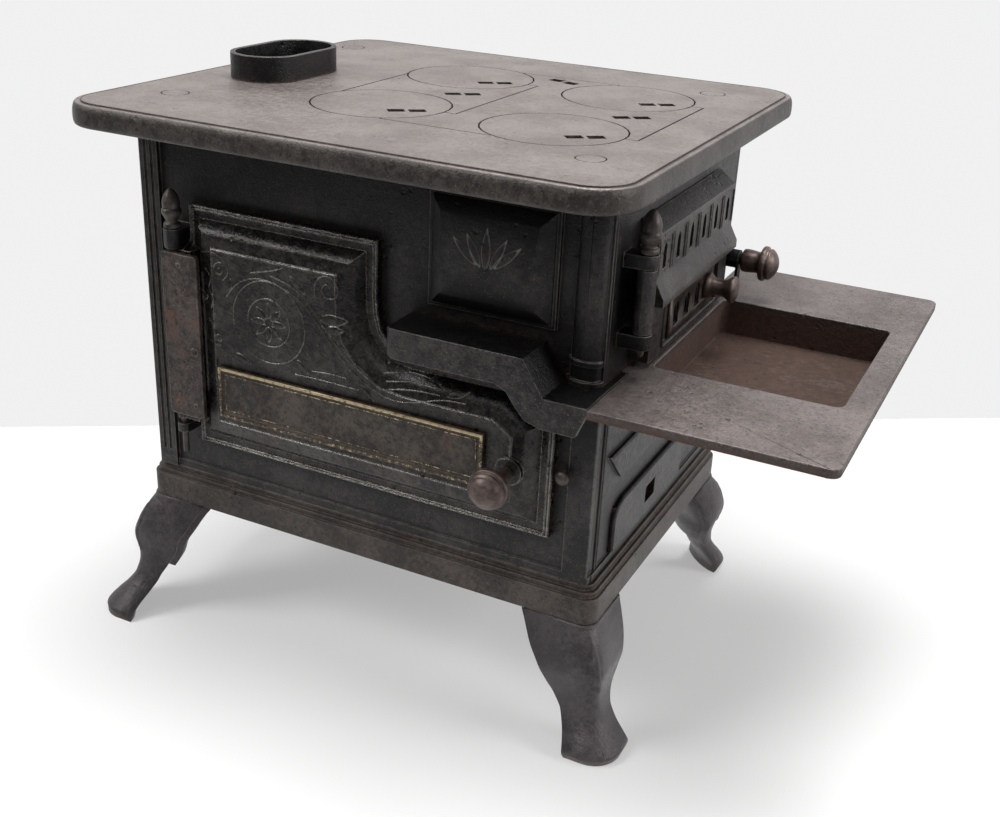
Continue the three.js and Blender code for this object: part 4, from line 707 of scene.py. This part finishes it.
slide = piece("draft_slide_plate", block((slide_low.x, slide_low.y, slide_low.z),
                                         (slide_low.x + SLIDE.thick, slide_high.y, slide_high.z)),
              rod_iron, "draft_slide", "bright_iron", "draft_slide")
for hole in range(SLIDE.holes):
    hole_y = slide_low.y + SLIDE.end + SLIDE.wide / 2 + SLIDE.pitch * hole
    hole_mesh = arch(hole_y, slide_low.z + SLIDE.foot, SLIDE.wide, SLIDE.tall,
                     slide_low.x - SLIDE.past, slide_low.x + SLIDE.thick + SLIDE.past)
    combined(slide, hole_mesh, "DIFFERENCE")
spool_y = middle_mm("draft_knob").y
spool_z = middle_mm("draft_slide").z
spool_foot = slide_low.x + SLIDE.thick - SPOOL.seat
piece("draft_knob_turned",
      turned(scaled(SPOOL_SHARES, SPOOL.disc, SPOOL.stand), "right", at(spool_foot, spool_y, spool_z)),
      knob_iron, "draft_slide", "knob_iron", "draft_knob")
print("draft slide faces:", len(slide.data.polygons))

# %% [markdown]
# The cooking top has a moulded rim: a round skirt, a soft bead and a shallow groove round the flat. Its
# lid openings and their ledges are right in the CAD plate, so a copy of that mesh is trimmed to the flat,
# and the rim is a band of rounded rectangles joined on.

# %% The cooking top and its rim
TOP = Sizes(corner=46, rim=9, skirt=22, lip=6, thick=6, lap=0.4, over=10, edge=0.5)
RIM_SHARES = [(0.22, 0), (0.1, 0.05), (0.03, 0.14), (0, 0.3), (0.01, 0.48), (0.04, 0.64), (0.09, 0.75),
              (0.16, 0.84), (0.24, 0.905), (0.33, 0.945), (0.43, 0.962), (0.53, 0.964), (0.66, 0.952),
              (0.78, 0.936), (0.84, 0.918), (0.89, 0.935), (0.94, 0.985), (1, 1)]


def round_cornered(low, high, corner, steps):
    """A rectangle with round corners, as pairs."""
    left, right = low[0] + corner, high[0] - corner
    near, far = low[1] + corner, high[1] - corner
    points = []
    for start, (mid_x, mid_y) in enumerate(((right, far), (left, far), (left, near), (right, near))):
        for i in range(steps + 1):
            angle = (start + i / steps) * math.pi / 2
            points.append((mid_x + corner * math.cos(angle), mid_y + corner * math.sin(angle)))
    return points


def top_plan(inset_by, z):
    low, high = box_mm("top_plate")
    step = Vector((inset_by, inset_by, 0))
    return [at(x, y, z) for x, y in round_cornered(low + step, high - step, TOP.corner - inset_by, 12)]


def casting_copy(name, node, finish, slot):
    """A new piece that starts as a copy of a casting's mesh and stands for it."""
    bm = bmesh.new()
    bm.from_mesh(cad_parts[node].data)
    bmesh.ops.remove_doubles(bm, verts=bm.verts, dist=WELD * MM)
    made = piece(name, bm, finish, "stove", slot, node)
    custom = made.data.attributes.get("custom_normal")
    if custom:
        made.data.attributes.remove(custom)
    return made


plate_top = box_mm("top_plate")[1].z
top_piece = casting_copy("top_plate_cast", "top_plate", top_iron, "cooktop_iron")
flat_only = skin([top_plan(TOP.rim - TOP.lap, z)
                  for z in (plate_top - 2 * TOP.skirt, plate_top + TOP.over)])
combined(top_piece, flat_only, "INTERSECT")
rim_line = scaled(RIM_SHARES, TOP.rim, TOP.skirt, plate_top - TOP.skirt)
rim_line += [(TOP.rim, plate_top - TOP.thick), (TOP.lip, plate_top - TOP.thick),
             (TOP.lip, plate_top - TOP.skirt)]
combined(top_piece, skin([top_plan(inset_by, z) for inset_by, z in rim_line], band=True), "UNION")
soften(top_piece, TOP.edge)
print("cooking top faces:", len(top_piece.data.polygons))

# %% [markdown]
# The hearth plate is one flat sheet with a sunken well. The CAD plate stops short at the corner beside the
# ledge, where the real one is square, so the missing piece is joined to a copy of the casting.

# %% The hearth plate
HEARTH = Sizes(corner=10, thick=9, lap=3, gap=0.3, edge=1.4)
WELL = Sizes(left=264, cad_left=277, right=440, front=-95, back=128, floor=347, wall=5,
             corner=8, lap=3, clear=0.4)
hearth_low, hearth_high = box_mm("hearth_plate")
ledge_high = box_mm("step_ledge")[1]
hearth_piece = casting_copy("hearth_plate_cast", "hearth_plate", hearth_iron, "hearth_iron")
beside = ledge_high.x + HEARTH.gap
corner_start = hearth_high.x - HEARTH.corner
corner_plan = ((beside, hearth_low.y), (corner_start, hearth_low.y),
               (corner_start, hearth_low.y + HEARTH.lap),
               (beside, ledge_high.y + HEARTH.gap + HEARTH.lap))
combined(hearth_piece, skin([[at(x, y, z) for x, y in corner_plan]
                             for z in (hearth_high.z - HEARTH.thick, hearth_high.z)]), "UNION")
# The well runs on under the firebox door, so its wall is moved nearer to the stove.
shell = WELL.wall + WELL.clear
combined(hearth_piece, block((WELL.left - WELL.wall, WELL.front - shell, WELL.floor - shell),
                             (WELL.cad_left + WELL.wall, WELL.back + shell,
                              hearth_high.z - WELL.lap)), "UNION")
# The whole well is cut again a hair wider and deeper, so that its floor and walls are single faces.
well_hole = block((WELL.left, WELL.front - WELL.clear, WELL.floor - WELL.clear),
                  (WELL.right + WELL.clear, WELL.back + WELL.clear, hearth_high.z + WELL.lap))
upright = [e for e in well_hole.edges if abs(e.verts[0].co.z - e.verts[1].co.z) > WELL.corner * MM]
bmesh.ops.bevel(well_hole, geom=upright, offset=WELL.corner * MM, segments=5, profile=0.5, affect="EDGES")
combined(hearth_piece, well_hole, "DIFFERENCE")
soften(hearth_piece, HEARTH.edge)
print("hearth faces:", len(hearth_piece.data.polygons))

# %% [markdown]
# The hinge strap is a thin rusted cover over the door's edge: a rounded plate with a rivet half way up and
# three small ones near its ends. It stands a little to the right of the plain CAD strap. The plate is a
# few rings that draw in towards its face, and the rivets are turned domes joined on.

# %% The hinge strap
strap_low, strap_high = box_mm("hinge_strap")
STRAP = Sizes(left=-225, right=-181, thick=5, corner=3, rivet=4.2, bump=2.6, dome=0.55,
              raised=13, higher=7, edge=0.3)
strap_foot = strap_low.z + STRAP.raised
strap_head = strap_high.z + STRAP.higher
strap_face = strap_high.y - STRAP.thick
STRAP_STEPS = ((0, 0), (0.72, 0), (0.93, 0.5), (1, 1.3))
RIVET_SHARES = [(0, -0.5), (1, -0.5), (1, 0.1), (0.9, 0.5), (0.62, 0.85), (0.25, 1), (0, 1.02)]
RIVETS = ((STRAP.right - 8, 335, STRAP.rivet), (STRAP.left + 12, strap_foot + 14, STRAP.bump),
          (STRAP.right - 10, strap_foot + 14, STRAP.bump),
          (STRAP.left + 22, strap_head - 12, STRAP.bump))
strap_mesh = skin([[at(x, strap_high.y - STRAP.thick * deep, z) for x, z in round_cornered(
    (STRAP.left + pull, strap_foot + pull), (STRAP.right - pull, strap_head - pull), STRAP.corner, 4)]
                   for deep, pull in STRAP_STEPS])
strap_piece = piece("hinge_strap_cast", strap_mesh, strap_iron, "oven_door", "rusty_strap", "hinge_strap")
for rivet_x, rivet_z, radius in RIVETS:
    dome = turned(scaled(RIVET_SHARES, radius, radius * STRAP.dome), "forward",
                  at(rivet_x, strap_face, rivet_z), 1)
    combined(strap_piece, dome, "UNION")
soften(strap_piece, STRAP.edge)
print("strap faces:", len(strap_piece.data.polygons))

# %% [markdown]
# The oven door's ornament is a scroll of thin raised lines round a bare medallion. Each line is a rib: a
# curve with a round section, half sunk in the door. A ray finds the door's surface under every point.

# %% Ribs on a field
FAR = -600
NEAR = -200


def rib(name, lines, radius, finish, body, closed=()):
    """Raised lines as one piece: smooth curves with a round section, through points of the row frame."""
    data = bpy.data.curves.new(name, "CURVE")
    data.dimensions = "3D"
    data.bevel_depth = radius * MM
    data.bevel_resolution = 2
    data.resolution_u = 5
    data.use_fill_caps = True
    for number, line in enumerate(lines):
        spline = data.splines.new("NURBS")
        spline.points.add(len(line) - 1)
        for point, target in zip(spline.points, line):
            point.co = (*target, 1)
        spline.order_u = min(4, len(line))
        spline.use_endpoint_u = number not in closed
        spline.use_cyclic_u = number in closed
    data.materials.append(finish)
    made = placed(name, data)
    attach(made, body)


def front_of(node):
    """A function that finds how far forward a casting's surface stands at any x and z."""
    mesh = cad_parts[node].data
    tree = BVHTree.FromPolygons([v.co for v in mesh.vertices], [p.vertices for p in mesh.polygons])

    def find(x, z):
        hit = tree.ray_cast(at(x, FAR, z), Vector((0, 1, 0)))[0] or tree.find_nearest(at(x, NEAR, z))[0]
        return (hit.y - ORIGIN.y) / MM
    return find


door_front = front_of("oven_door")


def on_door(points, sink=0.25, passes=2):
    """A line given as x and z, with its corners cut, laid on the door whatever its slope."""
    return [at(x, door_front(x, z) + sink, z) for x, z in rounded(points, passes)]


# %% The door's scroll
MEDALLION = (-102, 382)
MEDALLION_RINGS = (43, 25)
SCROLL_RADIUS = 0.9


def spiral(middle, radius, start=0.0, turns=1.0, count=14, drawn=0.8):
    """A scroll that winds in to its eye, or a circle where it isn't drawn in."""
    points = []
    for i in range(count + 1):
        angle = start + turns * 2 * math.pi * i / count
        reach = radius * (1 - drawn * i / count)
        points.append((middle[0] + reach * math.cos(angle), middle[1] + reach * math.sin(angle)))
    return points


STEMS = [
    [(-152, 400), (-138, 418), (-114, 427), (-88, 424), (-62, 412), (-45, 394), (-30, 375), (-10, 354),
     (17, 338), (44, 331), (72, 338), (94, 346), (118, 347)],
    [(-98, 431), (-74, 426), (-54, 413), (-38, 392), (-20, 371), (2, 353), (22, 345)],
    [(-40, 392), (-24, 381), (-6, 364), (12, 352)],
    [(-124, 446), (-102, 446), (-78, 444), (-98, 436), (-122, 430)],
    [(28, 357), (50, 361), (76, 360)], [(32, 350), (58, 355), (84, 354)], [(36, 343), (62, 348), (90, 349)],
    [(-72, 334), (-36, 335), (2, 334)], [(-52, 342), (-30, 344), (-12, 343)],
    [(-182, 440), (-166, 444), (-152, 436), (-148, 424), (-156, 416)],
    [(-178, 424), (-169, 416), (-176, 404), (-166, 396), (-172, 384)],
    [(-176, 372), (-166, 360), (-172, 348), (-160, 340)]]
WINDINGS = [spiral((-32, 430), 17, 3.7, -1.5), spiral((-160, 426), 8, 1.2, 1.2),
            spiral((-164, 352), 7, -1.4, -1.2)]
rings = [spiral(MEDALLION, radius, count=24, drawn=0) for radius in MEDALLION_RINGS]
ornament = [*[on_door(ring, passes=1)[:-1] for ring in rings],
            *[on_door(line) for line in STEMS], *[on_door(line, passes=1) for line in WINDINGS]]
rib("door_scroll", ornament, SCROLL_RADIUS, door_iron, "oven_door", closed=(0, 1))
print("lines in the door's scroll:", len(ornament))

# %% [markdown]
# Two fine lines run round the door's flange, and catch the light more than anything else on the front.
# Both are the door's outline, drawn in by a few millimetres, so the outline is written once.

# %% The fine lines round the door
BEND = [(54, 376), (43, 377), (34, 379.6), (27.5, 384), (22, 390), (18, 398), (15.7, 406.5), (14.3, 417),
        (14, 428)]
DOOR_EDGE = [(-206, 222), (204, 222), (204, 346), (158, 376), *BEND, (14, 483), (-206, 483)]


def drawn_in(points, distance):
    """The same closed outline, moved inwards."""
    moved = []
    for i, point in enumerate(points):
        before, here, after = (Vector(points[k % len(points)]) for k in (i - 1, i, i + 1))
        a, b = (here - before).normalized(), (after - here).normalized()
        normal = (Vector((-a.y, a.x)) + Vector((-b.y, b.x))).normalized()
        moved.append(here + normal * (distance / max(0.5, normal.dot(Vector((-a.y, a.x))))))
    return moved


def dense(points, step, least=1):
    """A closed outline with more points, and its corners twice, so that a smooth curve keeps them."""
    line = []
    for a, b in zip(points, [*points[1:], points[0]]):
        count = max(least, int((b - a).length / step))
        line += [a, *[a.lerp(b, i / count) for i in range(count)]]
    return line


EDGE_LINE = Sizes(insets=(1.9, 5.4), radius=0.55, sink=0.1, step=6)
rib("door_edge_lines", [[at(p.x, door_front(p.x, p.y) + EDGE_LINE.sink, p.y)
                         for p in dense(drawn_in(DOOR_EDGE, inset_by), EDGE_LINE.step)]
                        for inset_by in EDGE_LINE.insets],
    EDGE_LINE.radius, door_iron, "oven_door", closed=(0, 1))
print("door outline points:", len(DOOR_EDGE))

# %% [markdown]
# Between the lines lie leaves in low relief. Each swells to two lobes with a vein between them, and narrows
# to its tip. It is a row of small rings from root to tip: a bump map would have no edge to catch the light.

# %% Leaves in low relief
LEAF_STATIONS = 9


def leaf(bm, spot, root, tip, fat, stands):
    """Adds a leaf. spot turns a point of the field and its height over it into a place."""
    along = Vector(tip) - Vector(root)
    side = Vector((-along.y, along.x)) * fat
    rings_of_leaf = []
    for i in range(LEAF_STATIONS + 1):
        t = i / LEAF_STATIONS
        wide = max(0.04, math.sin(math.pi * min(1, t * 0.92 + 0.06)) ** 0.8 * (1.15 - 0.35 * t))
        middle = Vector(root) + along * t
        swell = stands * (0.35 + 0.65 * wide)
        rings_of_leaf.append([spot(*(middle + side * wide * across), swell * up) for across, up in (
            (-1, -0.6), (-0.92, 0.35), (-0.55, 1), (0, 0.62), (0.55, 1), (0.92, 0.35), (1, -0.6))])
    skin(rings_of_leaf, bm=bm)


def over_door(x, z, height):
    return at(x, door_front(x, z) - height, z)


DOOR_LEAVES = (
    ((-42, 398), (-10, 402), 0.2), ((-36, 388), (-14, 392), 0.24), ((-58, 420), (-76, 436), 0.18),
    ((4, 340), (20, 326), 0.2), ((-150, 404), (-146, 420), 0.22), ((-176, 396), (-188, 388), 0.24),
    ((-70, 350), (-56, 338), 0.2), ((-146, 340), (-124, 333), 0.2), ((98, 350), (120, 358), 0.18))
LEAF_STANDS = 1.0
PETAL = Sizes(count=8, root=4, tip=21, fat=0.24, stands=0.9)
door_leaves = bmesh.new()
for root, tip, fat in DOOR_LEAVES:
    leaf(door_leaves, over_door, root, tip, fat, LEAF_STANDS)
for petal in range(PETAL.count):
    turn = 2 * math.pi * petal / PETAL.count
    way = Vector((math.cos(turn), math.sin(turn)))
    leaf(door_leaves, over_door, Vector(MEDALLION) + way * PETAL.root, Vector(MEDALLION) + way * PETAL.tip,
         PETAL.fat, PETAL.stands)
leaves_piece = piece("door_leaves", door_leaves, door_iron, "oven_door", "body_iron")
print("door leaf faces:", len(leaves_piece.data.polygons))

# %% [markdown]
# The panel over the ledge is a soft pillow with a faint sprig. The door's leaves are used again, only
# lower, because a leaf asks for its surface and fits any field.

# %% The panel's sprig
SPRIG = Sizes(middle=130, root=478, tip=516, leans=(-34, -20, 0, 20, 34), fat=0.13, stands=0.7)
panel_front = front_of("front_plate")


def over_panel(x, z, height):
    return at(x, panel_front(x, z) - height, z)


sprig = bmesh.new()
for lean in SPRIG.leans:
    leaf(sprig, over_panel, (SPRIG.middle + lean * 0.25, SPRIG.root + abs(lean) * 0.1),
         (SPRIG.middle + lean, SPRIG.tip - abs(lean) * 0.35), SPRIG.fat, SPRIG.stands)
sprig_piece = piece("panel_sprig", sprig, body_iron, "stove", "body_iron")
print("sprig faces:", len(sprig_piece.data.polygons))

# %% [markdown]
# The long plate across the door is a dark pitted field in a double border, whose gold paint is worn thin.
# The outer border is a flat band with soft edges, and the inner one a thin half round line.

# %% The badge's gold borders
badge_low, badge_high = box_mm("door_badge_plate")
BAND = ((0, 0.6), (0.1, -0.5), (0.5, -0.95), (1.1, -1.1), (2.3, -1.1), (2.9, -0.9), (3.2, -0.4), (3.3, 0.6))
INNER_LINE = Sizes(inset=7.6, radius=0.6, step=10, at=1.6)


def badge_corners(inset_by):
    low_x, high_x = badge_low.x + inset_by, badge_high.x - inset_by
    low_z, high_z = badge_low.z + inset_by, badge_high.z - inset_by
    return [Vector(pair) for pair in ((low_x, low_z), (high_x, low_z), (high_x, high_z), (low_x, high_z))]


band_mesh = skin([[at(p.x, badge_low.y + y, p.y) for p in badge_corners(inset_by)] for inset_by, y in BAND],
                 band=True)
piece("badge_band", band_mesh, badge_gold, "oven_door", "worn_gold_paint")
rib("badge_inner_line", [[at(p.x, badge_low.y + INNER_LINE.at, p.y)
                          for p in dense(badge_corners(INNER_LINE.inset), INNER_LINE.step, 2)]],
    INNER_LINE.radius, badge_gold, "oven_door", closed=(0,))
print("badge, mm:", round(badge_high.x - badge_low.x), "x", round(badge_high.z - badge_low.z))

# %% [markdown]
# The firebox door is a little arcade: niches between pairs of slim columns, over a bold nose, over a framed
# window with the draft holes. The columns and the frame are ribs on the door's face.

# %% The firebox door's columns and window frame
fire_low, fire_high = box_mm("firebox_door")
ARCADE = Sizes(front=-105, bay=37.83, bays=6, foot=474, head=507, apart=2.4, column=1.5,
               after=36, before=1, end=4)
WINDOW = Sizes(front=-70, back=90, low=397, high=442, frame=1.6)
FIRE_FACE = 262
heights = (ARCADE.foot, ARCADE.foot + ARCADE.end, ARCADE.head - ARCADE.end, ARCADE.head)
columns = []
for bay in range(ARCADE.bays + 1):
    for side in (-1, 1):
        column_y = ARCADE.front + ARCADE.bay * bay + side * ARCADE.apart
        if fire_low.y + ARCADE.after < column_y < fire_high.y - ARCADE.before:
            columns.append([at(FIRE_FACE, column_y, z) for z in heights])
rib("firebox_door_columns", columns, ARCADE.column, fire_iron, "firebox_door")
front, back = WINDOW.front - WINDOW.frame, WINDOW.back + WINDOW.frame
low, high = WINDOW.low - WINDOW.frame, WINDOW.high + WINDOW.frame
window_corners = [Vector(pair) for pair in ((front, low), (back, low), (back, high), (front, high))]
rib("firebox_window_frame", [[at(FIRE_FACE, p.x, p.y) for p in dense(window_corners, math.inf, 2)]],
    WINDOW.frame, fire_iron, "firebox_door", closed=(0,))
print("columns:", len(columns))

# %% [markdown]
# The end of the stove has a corner post, set off from the plain wall by a pair of beads with a dark groove
# between them. It shows under the hearth plate. The beads are two straight ribs, and the groove is the
# gap that they leave, so nothing has to be cut.

# %% The end post's beads
POST = Sizes(face=243.5, end=20, low=184, high=372, at=(-151.5, -147), bead=1.3)
heights = (POST.low, POST.low + POST.end, POST.high - POST.end, POST.high)
beads = [[at(POST.face, y, z) for z in heights] for y in POST.at]
rib("end_post_beads", beads, POST.bead, body_iron, "stove")
print("beads:", len(beads))

# %% [markdown]
# The camera stands in front of the right corner, a little above the top. Its place and the length of its
# lens were worked out from the stove's own edges.

# %% The camera
VIEW_FROM = (601.8, -1137.1, 827.9)
VIEW_RIGHT = Vector((0.8941, 0.4455, 0.0447))
VIEW_DOWN = Vector((0.2211, -0.3526, -0.9093))
LENS = 45.33
camera_data = bpy.data.cameras.new("camera")
camera_data.lens = LENS
camera_data.sensor_width = 36
camera_data.clip_start = 0.05
camera = placed("camera", camera_data)
right_way = VIEW_RIGHT.normalized()
back_way = right_way.cross(-VIEW_DOWN).normalized()
up_way = back_way.cross(right_way)
turned_to = Matrix((right_way, up_way, back_way)).transposed().to_4x4()
camera.matrix_world = Matrix.Translation(at(*VIEW_FROM)) @ turned_to
bpy.context.scene.camera = camera
print("camera, mm:", VIEW_FROM, "lens, mm:", LENS)

# %% [markdown]
# The stove stands on a white floor against a pale backdrop. The floor keeps its soft shadow, and for the
# camera it also glows evenly, so that it stays white without more light on the iron.

# %% The floor and the backdrop
WHITE = 1.0
SEEN_GLOW = 0.36
FAR_FRONT = 0.06
FLOOR_LIT = (-800, -1500)
FLOOR_REACH = 6000
SEAM = ((-771, 59), (513, 898))


def floor_finish():
    f = Finish("white floor")
    shade = f.node("ShaderNodeBsdfDiffuse", None, {"Color": (0.84, 0.84, 0.835, 1)})
    glow = f.shine("ShaderNodeEmission", WHITE)
    depth = f.part(f.place(), 1)
    far_front = f.ramp(depth, at(0, FLOOR_LIT[0], 0).y, at(0, FLOOR_LIT[1], 0).y)
    mirrored = f.blend(far_front, glow, f.shine("ShaderNodeEmission", FAR_FRONT))
    seen = f.blend(f.ray("Is Camera Ray") * SEEN_GLOW, shade, glow)
    both = f.blend(f.math("MAXIMUM", f.ray("Is Glossy Ray"), f.ray("Is Transmission Ray")), seen, mirrored)
    f.node("ShaderNodeOutputMaterial", None, {"Surface": both})
    return f.material


seam_way = Vector((SEAM[1][0] - SEAM[0][0], SEAM[1][1] - SEAM[0][1], 0)).normalized()
toward_us = Vector((seam_way.y, -seam_way.x, 0))
seam_start = Vector((*SEAM[0], 0))
floor_corners = [seam_start + (seam_way * along + toward_us * near) * FLOOR_REACH
                 for along, near in ((-1, 0), (1, 0), (1, 1), (-1, 1))]
floor_mesh = bpy.data.meshes.new("floor")
floor_mesh.from_pydata([at(*corner) for corner in floor_corners], [], [(0, 1, 2, 3)])
floor_mesh.materials.append(floor_finish())
floor = placed("floor", floor_mesh)
print("floor, m:", 2 * FLOOR_REACH * MM, "x", FLOOR_REACH * MM)

# %% [markdown]
# The light is a plain bright studio. A large soft box hangs above, a smaller one stands to the right and
# makes the firebox end pale, and a third lights the front from the left. What glossy iron mirrors is a room
# that is bright above and behind and dark in front, so the front stays dark with pale edges.

# %% The world and the lamps
AMBIENT = 0.22
BACKDROP = (0.875, 0.875, 0.88, 1)


def studio_world():
    f = Finish("studio", bpy.data.worlds.new("studio"))
    way = f.node("ShaderNodeTexCoord", output="Generated")
    bright = f.math("MAXIMUM", f.ramp(f.part(way, 1), -0.35, 0.1), f.ramp(f.part(way, 2), 0.1, 0.5))
    lit = f.shine("ShaderNodeBackground", AMBIENT)
    room = f.shine("ShaderNodeBackground", bright * 0.8 + 0.05)
    mirrored = f.blend(f.ray("Is Glossy Ray"), lit, room)
    seen = f.shine("ShaderNodeBackground", WHITE, BACKDROP)
    f.node("ShaderNodeOutputWorld", None, {"Surface": f.blend(f.ray("Is Camera Ray"), mirrored, seen)})
    return f.material


def soft_box(name, place, target, size, power):
    """A square area lamp that faces a point of the stove."""
    data = bpy.data.lights.new(name, "AREA")
    data.shape = "SQUARE"
    data.size = size * MM
    data.energy = power
    lamp = placed(name, data)
    lamp.location = at(*place)
    lamp.rotation_mode = "QUATERNION"
    lamp.rotation_quaternion = (at(*target) - at(*place)).to_track_quat("-Z", "Y")


bpy.context.scene.world = studio_world()
soft_box("soft box above", (300, 300, 5000), (0, 0, 300), 2400, 240)
soft_box("soft box right", (3900, 600, 2000), (100, 0, 400), 1500, 64)
soft_box("soft box front", (-2600, -2300, 3300), (0, 0, 350), 1800, 95)
print("lamps:", [lamp.name for lamp in bpy.data.lights])

# %% [markdown]
# The view settings stay plain, so that a colour renders as it is written.

# %% The view settings
bpy.context.scene.view_settings.view_transform = "Standard"
